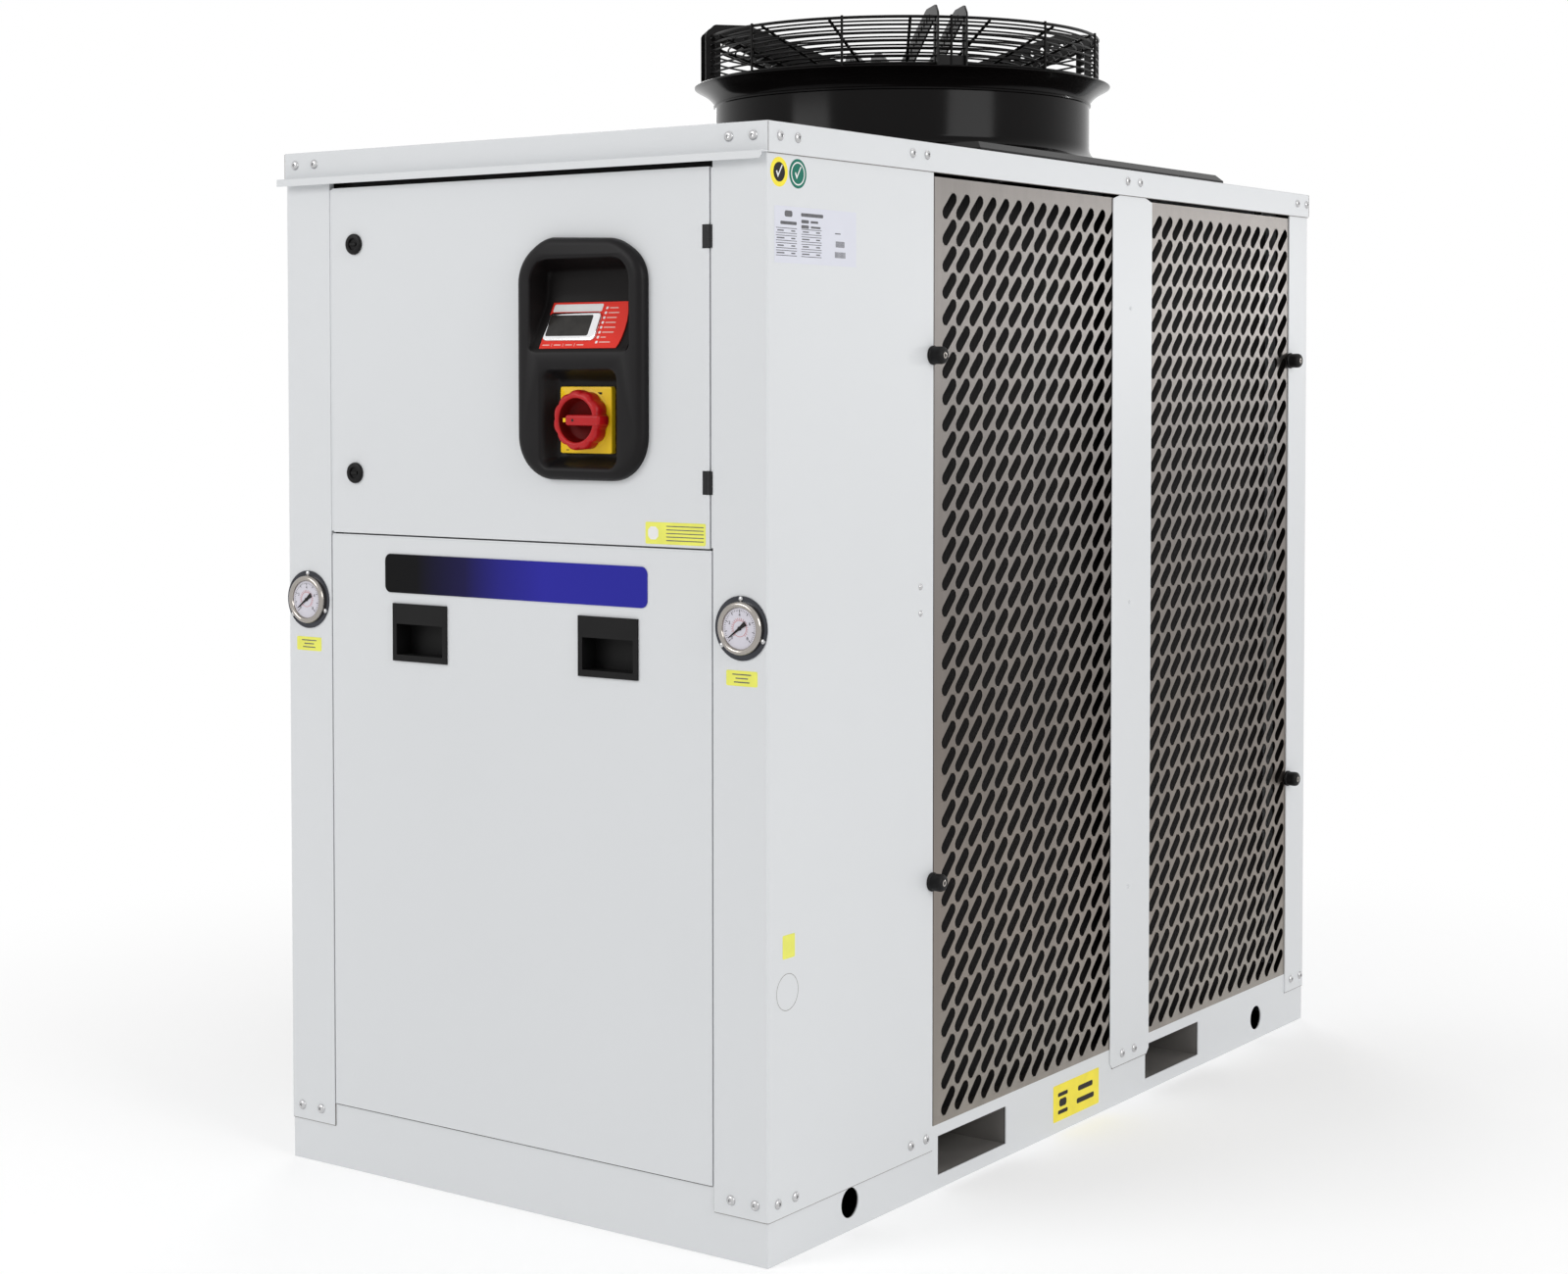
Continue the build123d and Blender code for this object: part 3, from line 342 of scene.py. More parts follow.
class Shape:
    """Collects faces, then becomes one piece."""

    def __init__(self):
        self.verts, self.faces, self.kinds = [], [], []

    def add(self, verts, faces, kind=0):
        base = len(self.verts)
        self.verts += [tuple(p) for p in verts]
        self.faces += [tuple(base + i for i in f) for f in faces]
        self.kinds += [kind] * len(faces)

    def loops(self, rings, kind=0, cap_first=True, cap_last=True, closed=True):
        """Skins between rings that all have the same number of points."""
        count = len(rings[0])
        verts = [p for ring in rings for p in ring]
        faces = []
        for level in range(len(rings) - 1):
            for i in range(count if closed else count - 1):
                j = (i + 1) % count
                faces.append((level * count + i, level * count + j,
                              (level + 1) * count + j, (level + 1) * count + i))
        if cap_first:
            faces.append(tuple(range(count))[::-1])
        if cap_last:
            faces.append(tuple((len(rings) - 1) * count + i for i in range(count)))
        self.add(verts, faces, kind)

    def lathe(self, plane, profile, count=32, kind=0, lobes=None):
        """Turns (radius, height) points about the plane's normal."""
        rings = []
        for step, (radius, height) in enumerate(profile):
            ring = []
            for i in range(count):
                angle = 2 * PI * i / count
                r = max(radius, 0.01)
                if lobes:
                    r += lobes(angle, step)
                ring.append(plane.at(r * math.cos(angle), r * math.sin(angle), height))
            rings.append(ring)
        self.loops(rings, kind)

    def slab(self, plane, outline, steps, kind=0, cap_first=True, cap_last=True):
        """outline(inset) gives the points; steps are (inset, height) pairs."""
        rings = [[plane.at(a, b, c) for a, b in outline(inset)] for inset, c in steps]
        self.loops(rings, kind, cap_first, cap_last)

    def block(self, x0, x1, y0, y1, z0, z1, kind=0):
        verts = [(x, y, z) for x in (x0, x1) for y in (y0, y1) for z in (z0, z1)]
        self.add(verts, [(0, 1, 3, 2), (4, 6, 7, 5), (0, 4, 5, 1), (2, 3, 7, 6), (0, 2, 6, 4),
                         (1, 5, 7, 3)], kind)

    def tube(self, points, radius, sides=8, kind=0, closed=False):
        """A round wire through points."""
        points = [Vector(p) for p in points]
        count = len(points)
        rings = []
        side = None
        for i, p in enumerate(points):
            if closed:
                run = points[(i + 1) % count] - points[i - 1]
            else:
                run = points[min(i + 1, count - 1)] - points[max(i - 1, 0)]
            run.normalize()
            if side is None:
                side = run.cross(Vector((0, 0, 1)))
                if side.length < 0.1:
                    side = run.cross(Vector((1, 0, 0)))
            side = (side - run * side.dot(run)).normalized()
            up = run.cross(side)
            rings.append([p + (side * math.cos(2 * PI * k / sides)
                               + up * math.sin(2 * PI * k / sides)) * radius
                          for k in range(sides)])
        if closed:
            rings.append(rings[0])
        self.loops(rings, kind, not closed, not closed)

    def sheet(self, plane, outer, holes, c0, c1, kind=0):
        """A flat plate with holes between two heights."""
        rings = [outer] + list(holes)
        flat = [p for ring in rings for p in ring]
        tris = tessellate_polygon([[Vector((a, b, 0)) for a, b in ring] for ring in rings])
        total = len(flat)
        verts = [plane.at(a, b, c0) for a, b in flat] + [plane.at(a, b, c1) for a, b in flat]
        faces = []
        for t in tris:
            (ax, ay), (bx, by), (cx, cy) = (flat[i] for i in t)
            if (bx - ax) * (cy - ay) - (by - ay) * (cx - ax) < 0:
                t = t[::-1]
            faces.append(tuple(total + i for i in t))
            faces.append(tuple(t[::-1]))
        start = 0
        for ring in rings:
            count = len(ring)
            for i in range(count):
                j = (i + 1) % count
                faces.append((start + i, start + j, total + start + j, total + start + i))
            start += count
        self.add(verts, faces, kind)

    def finish(self, name, mats, body="cabinet", slot=None, stands_for=(), angle=35.0,
               bevel=0.0, segments=2, weld=False):
        mesh = bpy.data.meshes.new(name)
        mesh.from_pydata([place(p) for p in self.verts], [], self.faces)
        for mat in mats:
            mesh.materials.append(mat)
        mesh.polygons.foreach_set("material_index", self.kinds)
        bm = bmesh.new()
        bm.from_mesh(mesh)
        if weld:
            bmesh.ops.remove_doubles(bm, verts=bm.verts, dist=2e-6)
        bmesh.ops.recalc_face_normals(bm, faces=bm.faces)
        bm.to_mesh(mesh)
        bm.free()
        mesh.polygons.foreach_set("use_smooth", [True] * len(mesh.polygons))
        mesh.set_sharp_from_angle(angle=math.radians(angle))
        obj = bpy.data.objects.new(name, mesh)
        scene.collection.objects.link(obj)
        if bevel:
            soften(obj, bevel, segments)
        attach(obj, body)
        if stands_for:
            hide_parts(*stands_for)
        return obj


def soften(obj, width, segments=2, angle=35.0):
    tool = obj.modifiers.new("edge", "BEVEL")
    tool.width = width / 1000.0
    tool.segments = segments
    tool.limit_method = "ANGLE"
    tool.angle_limit = math.radians(angle)
    tool.use_clamp_overlap = True


def rounded(width, height, radii, steps=6, dx=0.0, dy=0.0):
    """outline(inset) of a rectangle with a radius at each corner, from lower left round."""
    if not hasattr(radii, "__len__"):
        radii = (radii,) * 4

    def outline(inset=0.0):
        points = []
        for index, (sx, sy) in enumerate(((-1, -1), (1, -1), (1, 1), (-1, 1))):
            r = max(radii[index] - inset, 0.05)
            cx = sx * (width / 2 - inset - r)
            cy = sy * (height / 2 - inset - r)
            start = (PI, 1.5 * PI, 0.0, 0.5 * PI)[index]
            for k in range(steps + 1):
                angle = start + 0.5 * PI * k / steps
                points.append((dx + cx + r * math.cos(angle), dy + cy + r * math.sin(angle)))
        return points

    return outline


def circle(radius, count=24, a=0.0, b=0.0):
    return [(a + radius * math.cos(2 * PI * i / count), b + radius * math.sin(2 * PI * i / count))
            for i in range(count)]


def swap(names, mat, bevel=0.0, segments=2):
    """Gives CAD nodes a finish and soft edges."""
    for name in names:
        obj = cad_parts[name]
        obj.data.materials.clear()
        obj.data.materials.append(mat)
        if bevel:
            soften(obj, bevel, segments)


# panels carried over
# base rails and corner panels: coat outside, painted shade inside
swap([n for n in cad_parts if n.startswith(("base_", "corner_panel"))], paint_with_painted_shade_inside, 0.8)
# fork pockets take the dark grey, a painted shade inside the tunnels
swap([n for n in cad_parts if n.startswith("fork_")], pocket_painted_shade, 0.5)
swap(["lower_front_panel", "rear_panel", "control_door", "roof_cap"], paint, 1.1, 3)
swap(["electrical_box"], inner_paint, 0.6)
swap(["condenser_coil_left", "condenser_coil_right"], coil_black)
swap(["panel_handles"], plastic, 1.2, 3)
swap(["door_hinges", "frame_hinges"], black_metal, 0.5)
swap(["fan_plate"], gloss_black, 1.5, 3)
swap(["brand_plate"], brand_film, 0.5)


# posts and visor
def post(way, name, node):
    shape = Shape()
    plane = on_side(way, 162.5, 0.0, 434.0)
    outline = [(-64.5, 70.0), (-56.5, 62.0), (56.5, 62.0), (64.5, 70.0), (64.5, 1433.0),
               (36.5, 1441.0), (36.5, 1478.0), (-36.5, 1478.0), (-36.5, 1441.0),
               (-64.5, 1433.0)]
    outline = [(way * a, b) for a, b in outline]
    if way < 0:
        outline = outline[::-1]
    shape.sheet(plane, outline, [], 0.0, 2.0)
    # the flange rims behind the grille take the near-black coat, a painted shade
    for a in (-40.5, 38.5):
        a = a if way > 0 else -a - 2
        rim = [(a, 97.0), (a + 2, 97.0), (a + 2, 1478.0), (a, 1478.0)]
        shape.sheet(plane, rim, [], -30.0, -0.4, 1)
    shape.finish(name, [paint, painted_shade_coat], slot="grey_paint", stands_for=[node], bevel=0.7)


post(1, "post_right", "middle_post_right")
post(-1, "post_left", "middle_post_left")

visor = Shape()
lip = [(-820.0, 1441.5), (-820.0, 1440.0), (-833.5, 1440.0), (-833.5, 1431.0), (-835.0, 1431.0),
       (-835.0, 1440.6), (-834.1, 1441.5)]
rings = []
for x in (-438.0, -437.0, 431.0, 432.5, 434.0, 435.4, 436.6, 437.4, 437.9):
    run = max(0.0, x - 431.0)
    trim = 7.0 - math.sqrt(max(0.0, 49.0 - run * run))
    rings.append([(x, y, min(1440.6, z + trim) if z < 1440 else z) for y, z in lip])
visor.loops(rings)
visor.finish("visor", [paint], slot="grey_paint", stands_for=["drip_visor"])


# slotted grilles
def stadium(length, width, turn, steps=6):
    half = (length - width) / 2
    points = []
    for end in (0, 1):
        for k in range(steps + 1):
            angle = -PI / 2 + PI * end + PI * k / steps
            a = half * (1 - 2 * end) + width / 2 * math.cos(angle)
            b = width / 2 * math.sin(angle)
            points.append((a * math.cos(turn) - b * math.sin(turn),
                           a * math.sin(turn) + b * math.cos(turn)))
    return points


def grille(way, y0, y1, first_y, name, node):
    """Slots at 45 degrees, drawn cell by cell on a slanting grid."""
    pitch_y, pitch_z = 36.3, 37.47
    columns, rows = 14, 35
    low, high = 93.0, 1434.0
    first_z = low + 28.2
    slot = stadium(46.5, 17.5, math.radians(45.0), 5)
    shape = Shape()
    plane = Plane((434.0 * way, 0, 0), (0, 1, 0), (0, 0, 1))
    cell_cache = {}

    def cell(limit):
        if limit not in cell_cache:
            h, k = pitch_y / 2, pitch_z / 2
            outer = [(-2 * h, -k), (0.0, -k), (2 * h, k), (0.0, k)]
            outer = [(min(a, limit), b) for a, b in outer]
            loops = [outer, slot]
            tris = tessellate_polygon([[Vector((a, b, 0)) for a, b in loop] for loop in loops])
            flat = outer + slot
            good = []
            for t in tris:
                (ax, ay), (bx, by), (cx, cy) = (flat[i] for i in t)
                area = (bx - ax) * (cy - ay) - (by - ay) * (cx - ax)
                good.append(tuple(t) if area > 0 else tuple(t[::-1]))
            cell_cache[limit] = (flat, good)
        return cell_cache[limit]

    last_y = first_y + (columns - 1) * pitch_y
    for row in range(rows):
        z = first_z + row * pitch_z
        for column in range(columns):
            y = first_y + column * pitch_y
            limit = round(min(y1 - y, 99.0), 4) if column == columns - 1 else 99.0
            flat, tris = cell(limit)
            shape.add([plane.at(y + a, z + b) for a, b in flat], tris)
        zb, zt = z - pitch_z / 2, z + pitch_z / 2
        left = [(y0, zb), (first_y - pitch_y, zb), (first_y, zt), (first_y - pitch_y, zt),
                (y0, zt)]
        if row == rows - 1:
            left = [(y0, zb), (first_y - pitch_y, zb), (first_y, zt), (y0, zt)]
        shape.add([plane.at(a, b) for a, b in left], [tuple(range(len(left)))])
        edge = min(last_y + pitch_y, y1)
        right = [(last_y, zb), (edge, zb), (y1, zb), (y1, zt), (edge, zt)]
        if edge >= y1 - 1e-6:
            right = [(last_y, zb), (y1, zb), (y1, zt)]
        if row == 0 and len(right) == 5:
            right = [(last_y, zb), (y1, zb), (y1, zt), (edge, zt)]
        shape.add([plane.at(a, b) for a, b in right], [tuple(range(len(right)))])
    bottom = first_z - pitch_z / 2
    top = first_z + (rows - 0.5) * pitch_z
    foot = [(y0, low), (y1, low), (y1, bottom)]
    foot += [(last_y - i * pitch_y, bottom) for i in range(columns + 1)] + [(y0, bottom)]
    shape.add([plane.at(a, b) for a, b in foot], [tuple(range(len(foot)))])
    edge = min(last_y + pitch_y, y1)
    head = [(y0, top)] + [(first_y + i * pitch_y, top) for i in range(columns)]
    head += [(edge, top)]
    if edge < y1 - 1e-6:
        head += [(y1, top)]
    head += [(y1, high), (y0, high)]
    shape.add([plane.at(a, b) for a, b in head], [tuple(range(len(head)))])
    obj = shape.finish(name, [stainless], slot="stainless", stands_for=[node], weld=True)
    obj.data.polygons.foreach_set("use_smooth", [False] * len(obj.data.polygons))
    tool = obj.modifiers.new("sheet", "SOLIDIFY")
    tool.thickness = 0.0012
    tool.offset = -1.0 if way > 0 else 1.0
    return obj


columns_y = 13 * 36.3
grille(1, -419.0, 119.0, 119.0 - 26.3 - columns_y, "slotted_grille_front_right",
       "grille_front_right")
grille(1, 206.0, 753.0, 206.0 + 40.5, "slotted_grille_rear_right", "grille_rear_right")
grille(-1, -419.0, 119.0, 119.0 - 26.3 - columns_y, "slotted_grille_front_left",
       "grille_front_left")
grille(-1, 206.0, 753.0, 206.0 + 40.5, "slotted_grille_rear_left", "grille_rear_left")


# seams and seals; the dark strips along sheet edges are painted shadow lines in the gaps
seams = Shape()
for way in (-1, 1):
    a, b = sorted((way * 348.0, way * 434.0))
    for y0, y1 in ((-817.6, -815.8), (815.8, 817.6)):
        seams.block(a, b, y0, y1, 59.1, 60.2)
        edge = sorted((way * 347.3, way * 348.2))
        seams.block(edge[0], edge[1], y0 + 0.3, y1 - 0.3, 60.0, 92.0)
    a, b = sorted((way * 433.8, way * 435.7))
    for y0, y1 in ((-816.0, -424.0), (743.0, 816.0)):
        seams.block(a, b, y0, y1, 59.1, 60.2)
    seams.block(a, b, 105.0, 220.0, 61.2, 62.2)
    a, b = sorted((way * 435.8, way * 437.5))
    seams.block(a, b, -818.0, 818.0, 1439.1, 1440.2)
    a, b = sorted((way * 437.6, way * 438.06))
    for y0, y1 in ((-819.0, -818.4), (818.4, 819.0)):
        seams.block(a, b, y0, y1, 1441.0, 1479.0)
# the strip along the door's foot takes the near-black coat, a painted shade in the gap
seams.block(-345.0, 345.0, -817.6, -815.8, 92.0, 93.4, 2)
seams.block(-345.4, 345.4, -817.4, -814.0, 924.4, 927.2, 1)
seams.block(-345.0, 345.0, 815.8, 817.2, 92.2, 93.4)
seams.block(-348.0, -343.4, -816.9, -815.4, 931.0, 1424.0, 1)
seams.block(345.0, 348.0, -817.6, -814.0, 931.0, 1424.0, 1)
seams.finish("seam_lines", [painted_shadow_line, paint, painted_shade_coat], slot="grey_paint")

seal = Shape()
seal.block(-345.0, 345.0, -797.2, -794.0, 1412.0, 1439.0)
seal.finish("door_seal", [plastic], slot="black_plastic", bevel=0.6)

# screws and rivets
screws = Shape()
head = [(6.8, 0.0), (6.8, 0.7), (6.3, 1.6), (5.2, 2.5), (3.8, 3.1), (2.7, 3.3), (2.4, 3.1),
        (2.2, 1.4), (0.0, 1.2)]
for face in (on_front, on_back):
    for x in (-415.0, -376.0, 376.0, 415.0):
        screws.lathe(face(x, 1462.0, -820.0 if face is on_front else 820.0), head, 20)
        screws.lathe(face(x, 80.0), head, 20)
for way in (-1, 1):
    for y in (-793.0, -754.0, -481.0, -444.0, 141.0, 182.0, 771.0, 809.0):
        screws.lathe(on_side(way, y, 1462.0, 438.0), head, 20)
    for y in (-796.5, -757.7, -480.0, -441.0, 137.0, 177.0, 767.0, 804.5):
        screws.lathe(on_side(way, y, 80.0), head, 20)
screws.finish("casing_screws", [zinc], slot="gauge_steel")

rivets = Shape()
dome = [(4.6, 0.0), (4.4, 0.8), (3.4, 1.7), (2.0, 2.2), (0.0, 2.4)]
small = [(3.2, 0.0), (3.0, 0.9), (2.0, 1.9), (0.0, 2.3)]
for way in (-1, 1):
    for z in (861.0, 824.0):
        rivets.lathe(on_side(way, -457.0, z), dome, 16)
    for z in (1263.0, 797.6, 343.4):
        rivets.lathe(on_side(way, 155.5, z), small, 12, 1)
rivets.finish("casing_rivets", [zinc, paint], slot="gauge_steel")


# grille knobs
knobs = Shape()
grip = [(13.2, 0.0), (13.6, 1.0), (13.6, 3.0), (12.4, 4.2), (12.2, 6.0), (12.5, 14.0),
        (12.2, 17.5), (11.0, 20.0), (8.6, 21.6), (6.0, 22.0), (5.6, 21.6), (0.0, 21.4)]
stud = [(4.7, 20.6), (4.7, 21.7), (4.2, 22.0), (2.6, 22.0), (2.4, 21.6), (2.3, 21.0),
        (0.0, 20.9)]
for way in (-1, 1):
    for y in (-427.0, 746.0):
        for z in (443.0, 1184.0):
            knobs.lathe(on_side(way, y, z), grip, 32, 0)
            knobs.lathe(on_side(way, y, z), stud, 20, 1)
knobs.finish("clamping_knobs", [plastic, steel], slot="black_plastic",
             stands_for=["grille_knobs"])


# door locks
locks = Shape()
for z in (1016.0, 1344.0):
    plane = on_front(-297.5, z)
    locks.lathe(plane, [(10.0, -16.0), (10.0, 0.0), (14.6, 0.0), (15.0, 0.6), (15.0, 2.6),
                        (14.2, 4.2), (12.6, 5.0), (9.0, 5.0), (8.2, 4.2), (8.0, 2.2),
                        (0.0, 2.0)], 40, 0)
    locks.slab(plane, rounded(12.5, 4.6, 2.0, 3), [(0.0, 1.8), (0.0, 4.2), (0.5, 4.8)], 0)
locks.finish("quarter_turn_locks", [plastic], body="door", slot="black_plastic",
             stands_for=["door_locks"])


# pressure gauges
def gauge(side):
    name = "right" if side > 0 else "left"
    plane = on_front(side * 394.5, 829.0)
    shape = Shape()
    # the flange, kind 1, takes the near-black steel, a painted reflection
    shape.lathe(plane, [(31.0, -28.0), (31.0, 0.0), (41.6, 0.0), (42.0, 0.4), (42.0, 1.6),
                        (41.6, 2.0), (36.0, 2.0)], 64, 1)
    shape.lathe(plane, [(35.2, 1.9), (35.2, 4.2), (34.6, 6.4), (33.4, 8.0), (31.8, 8.9),
                        (30.0, 9.0), (28.4, 8.3), (27.2, 6.9), (26.6, 4.7)], 72, 0)
    shape.lathe(plane, [(27.2, 4.5), (27.0, 4.8), (0.0, 4.8)], 72, 2)
    for k in range(3):
        angle = PI / 2 + k * 2 * PI / 3 + (0.12 if k else 0.0)
        spot = Plane(plane.at(38.4 * math.cos(angle), 38.4 * math.sin(angle), 2.0),
                     (1, 0, 0), (0, 0, 1))
        shape.lathe(spot, [(3.4, 0.0), (3.2, 1.0), (2.2, 1.9), (0.0, 2.3)], 16, 5)
    for k in range(41):
        angle = math.radians(225.0 - 270.0 * k / 40)
        long = k % 5 == 0
        r0, r1 = (20.6 if long else 22.6), 24.6
        wide = 0.42 if long else 0.22
        ca, sa = math.cos(angle), math.sin(angle)
        corners = [(r0 * ca - wide * sa, r0 * sa + wide * ca), (r1 * ca - wide * sa,
                   r1 * sa + wide * ca), (r1 * ca + wide * sa, r1 * sa - wide * ca),
                   (r0 * ca + wide * sa, r0 * sa - wide * ca)]
        shape.sheet(plane, corners, [], 4.85, 5.0, 3)
        if k % 2 == 0:
            q0, q1 = 11.4, 13.8
            corners = [(q0 * ca - 0.3 * sa, q0 * sa + 0.3 * ca), (q1 * ca - 0.3 * sa,
                       q1 * sa + 0.3 * ca), (q1 * ca + 0.3 * sa, q1 * sa - 0.3 * ca),
                       (q0 * ca + 0.3 * sa, q0 * sa - 0.3 * ca)]
            shape.sheet(plane, corners, [], 4.85, 5.0, 4)
    shape.sheet(plane, circle(10.9, 40), [circle(10.3, 40)[::-1]], 4.78, 4.95, 4)
    aim = math.radians(216.0)
    ca, sa = math.cos(aim), math.sin(aim)
    hand = [(-12.0, 3.4), (-12.0, -3.4), (-2.0, -1.9), (22.0, -0.4), (22.0, 0.4), (-2.0, 1.9)]
    shape.sheet(plane, [(a * ca - b * sa, a * sa + b * ca) for a, b in hand][::-1], [], 5.6, 6.1,
                3)
    shape.lathe(plane, [(2.6, 4.9), (2.6, 6.3), (1.8, 6.7), (0.0, 6.8)], 20, 3)
    shape.finish("gauge_" + name, [steel, flange_painted_reflection, dial_face, dark_ink, red_ink, zinc],
                 slot="gauge_steel", stands_for=["pressure_gauge_" + name])
    numbers = []
    for k in range(0, 41, 10):
        angle = math.radians(225.0 - 270.0 * k / 40)
        text = bpy.data.curves.new("dial_number", "FONT")
        text.body = str(k // 10 * 2)
        text.size = 0.0060
        text.align_x = "CENTER"
        text.align_y = "CENTER"
        holder = bpy.data.objects.new("dial_number", text)
        mesh = bpy.data.meshes.new_from_object(holder)
        spot = place(plane.at(17.6 * math.cos(angle), 17.6 * math.sin(angle), 5.05))
        for vert in mesh.vertices:
            vert.co = Vector((vert.co.x, 0.0, vert.co.y)) + spot
        bpy.data.objects.remove(holder)
        numbers.append(mesh)
    bm = bmesh.new()
    for mesh in numbers:
        bm.from_mesh(mesh)
    mesh = bpy.data.meshes.new("dial_numbers_" + name)
    bm.to_mesh(mesh)
    bm.free()
    mesh.materials.clear()
    mesh.materials.append(dark_ink)
    obj = bpy.data.objects.new("dial_numbers_" + name, mesh)
    scene.collection.objects.link(obj)
    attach(obj, "cabinet")


gauge(1)
gauge(-1)


# control bezel
def smooth_max(a, b, k):
    h = max(k - abs(a - b), 0.0) / k
    return max(a, b) + h * h * k * 0.25


def bezel():
    plane = on_front(132.0, 1177.5)
    shape = Shape()
    raw = rounded(220.0, 326.0, 60.0, 14)

    def outer(inset):
        out = []
        for a, b in raw(inset):
            lift = min(1.0, max(0.0, (b - 103.0) / 40.0))
            droop = 3.6 * math.sin(PI * min(max(a, 0.0), 110.0) / 110.0)
            out.append((a, b + (4.0 - 6.5 * min(1.0, (a / 80.0) ** 2) - droop) * lift))
        return out

    rim = [(0.0, 0.0), (0.0, 5.0), (0.5, 8.0), (1.8, 11.0), (4.0, 13.4), (7.2, 15.1),
           (11.0, 16.0)]
    shape.slab(plane, outer, rim, 0, False, False)

    def floor_height(b):
        slope = 14.0 - 36.0 / 71.0 * (b - 9.5)
        ceiling = -22.0 + 2.4 * (b - 120.5)
        return smooth_max(smooth_max(slope, -22.0, 6.0), ceiling, 8.0)

    def upper(inset):
        """Right side from low to high, then left side from high to low."""
        half = 86.0 - inset
        b0, b1 = 9.5 + inset, 135.5 - inset
        r0, r1 = max(10.0 - inset, 0.5), max(32.0 - inset, 0.5)
        right = []
        for k in range(5):
            angle = -PI / 2 + PI / 2 * k / 4
            right.append((half - r0 + r0 * math.cos(angle), b0 + r0 + r0 * math.sin(angle)))
        for b in (30.0, 45.0, 60.0, 72.0, 76.0, 79.0, 81.5, 84.0, 88.0, 95.0, 100.0):
            right.append((half, b))
        for k in range(9):
            angle = PI / 2 * k / 8
            right.append((half - r1 + r1 * math.cos(angle), b1 - r1 + r1 * math.sin(angle)))
        return right + [(-a, b) for a, b in right[::-1]]

    rings = []
    for inset, kind in ((-4.0, 0), (-1.6, 1), (-0.3, 2), (0.8, 3), (2.6, 4), (6.0, 5)):
        ring = []
        for a, b in upper(inset):
            deep = floor_height(b)
            c = (16.0, 15.2, min(15.0, max(12.5, deep + 1.2)), min(14.6, deep + 5.0),
                 min(14.2, deep + 1.4), deep)[kind]
            ring.append(plane.at(a + 1.0, b, c))
        rings.append(ring)
    shape.loops(rings[:3], 0, False, False)
    # kind 1, the recess walls and floor, takes the darker bezel plastic, a painted shade
    shape.loops(rings[2:], 1, False, False)
    last = rings[-1]
    half = len(last) // 2
    strip = []
    for k in range(half - 1):
        strip.append((k, k + 1, len(last) - 2 - k, len(last) - 1 - k))
    shape.add(last, strip, 1)
    lower = rounded(132.0, 132.0, 15.0, 8, 0.0, -80.0)
    wall = [(-4.0, 16.0), (-1.6, 15.2), (0.6, 13.0), (3.2, 8.0), (8.0, -1.0), (11.0, -6.0),
            (13.6, -8.8), (17.0, -10.0)]
    shape.slab(plane, lower, wall, 0, False, True)
    face = [outer(11.0), [(a + 1.0, b) for a, b in upper(-4.0)], lower(-4.0)]
    flat = [p for ring in face for p in ring]
    tris = tessellate_polygon([[Vector((a, b, 0)) for a, b in ring] for ring in face])
    shape.add([plane.at(a, b, 16.0) for a, b in flat], [tuple(t) for t in tris])
    tub = rounded(184.0, 290.0, 20.0, 5)
    shape.slab(plane, tub, [(0.0, -0.5), (0.0, -24.5), (1.5, -26.0)], 0, False, True)
    shape.finish("bezel", [bezel_plastic, bezel_painted_shade], body="door", slot="black_plastic",
                 stands_for=["control_bezel"], weld=True, angle=40.0)


bezel()

# label, display and print on the slope of the upper recess
run, rise = 36.0, 71.0
length = math.hypot(run, rise)
slope = Plane((132.0, -832.0 + run / 2, 1187.0 + rise / 2), (1, 0, 0),
              (0, run / length, rise / length))
label = Shape()
film = [(-69.5, -35.0), (63.5, -35.0), (66.8, -28.0), (68.8, -19.0), (69.5, -8.0), (69.0, 6.0),
        (66.0, 20.0), (60.5, 35.0), (-69.5, 35.0)]
label.sheet(slope, film, [], 0.0, 1.5, 0)
label.sheet(slope, rounded(86.0, 11.5, 2.0, 3, -23.0, 26.3)(0), [], 1.45, 1.65, 1)
for k in range(8):
    b = 25.6 - 7.4 * k
    label.sheet(slope, rounded(3.8, 3.8, 1.0, 2, 28.0, b)(0), [], 1.45, 1.65, 1)
    long = (15.0, 19.0, 17.0, 18.0, 20.0, 20.0, 9.0, 19.0)[k]
    label.sheet(slope, rounded(long, 1.5, 0.5, 1, 32.5 + long / 2, b)(0), [], 1.45, 1.62, 2)
for k in range(4):
    a = -59.0 + 20.0 * k
    label.sheet(slope, rounded(12.0, 1.5, 0.5, 1, a, -30.0)(0), [], 1.45, 1.62, 2)
    if k < 3:
        label.sheet(slope, rounded(0.8, 4.4, 0.3, 1, a + 10.0, -30.0)(0), [], 1.45, 1.62, 2)
label.finish("controller_label", [red_film, white_ink, pale_ink], body="door",
             slot="red_label", stands_for=["controller_plate"])

display = Shape()
outline = rounded(92.0, 43.0, 8.0, 6, -22.0, -3.0)
display.slab(slope, outline, [(0.0, 1.5), (0.0, 3.4), (0.8, 4.6), (2.2, 5.1), (4.2, 5.2)], 0)
display.slab(slope, rounded(75.0, 32.0, 3.0, 6, -25.6, -2.4),
             [(0.0, 5.1), (0.4, 5.4), (1.0, 5.5)], 1, False, True)
display.finish("controller_window", [chrome, screen], body="door", slot="display",
               stands_for=["controller_display"], weld=True)


# isolator switch
plate_plane = on_front(132.0, 1095.5, -808.0)
plate = Shape()
plate.slab(plate_plane, rounded(90.0, 90.0, 3.0, 4), [(0.0, 0.0), (0.0, 6.6), (0.5, 7.6),
                                                      (1.4, 8.0)], 0)
plate.lathe(plate_plane, [(42.5, 7.9), (42.5, 8.3), (42.2, 8.45), (0.0, 8.45)], 64, 0)
plate.sheet(plate_plane, rounded(7.0, 3.0, 0.4, 2, 25.0, 36.0)(0), [], 7.9, 8.15, 1)
plate.sheet(plate_plane, rounded(5.0, 1.2, 0.4, 2, -32.0, -40.5)(0), [], 7.9, 8.15, 1)
plate.finish("isolator_plate", [yellow_plastic, dark_ink], body="door", slot="yellow_plastic",
             stands_for=["switch_plate"])

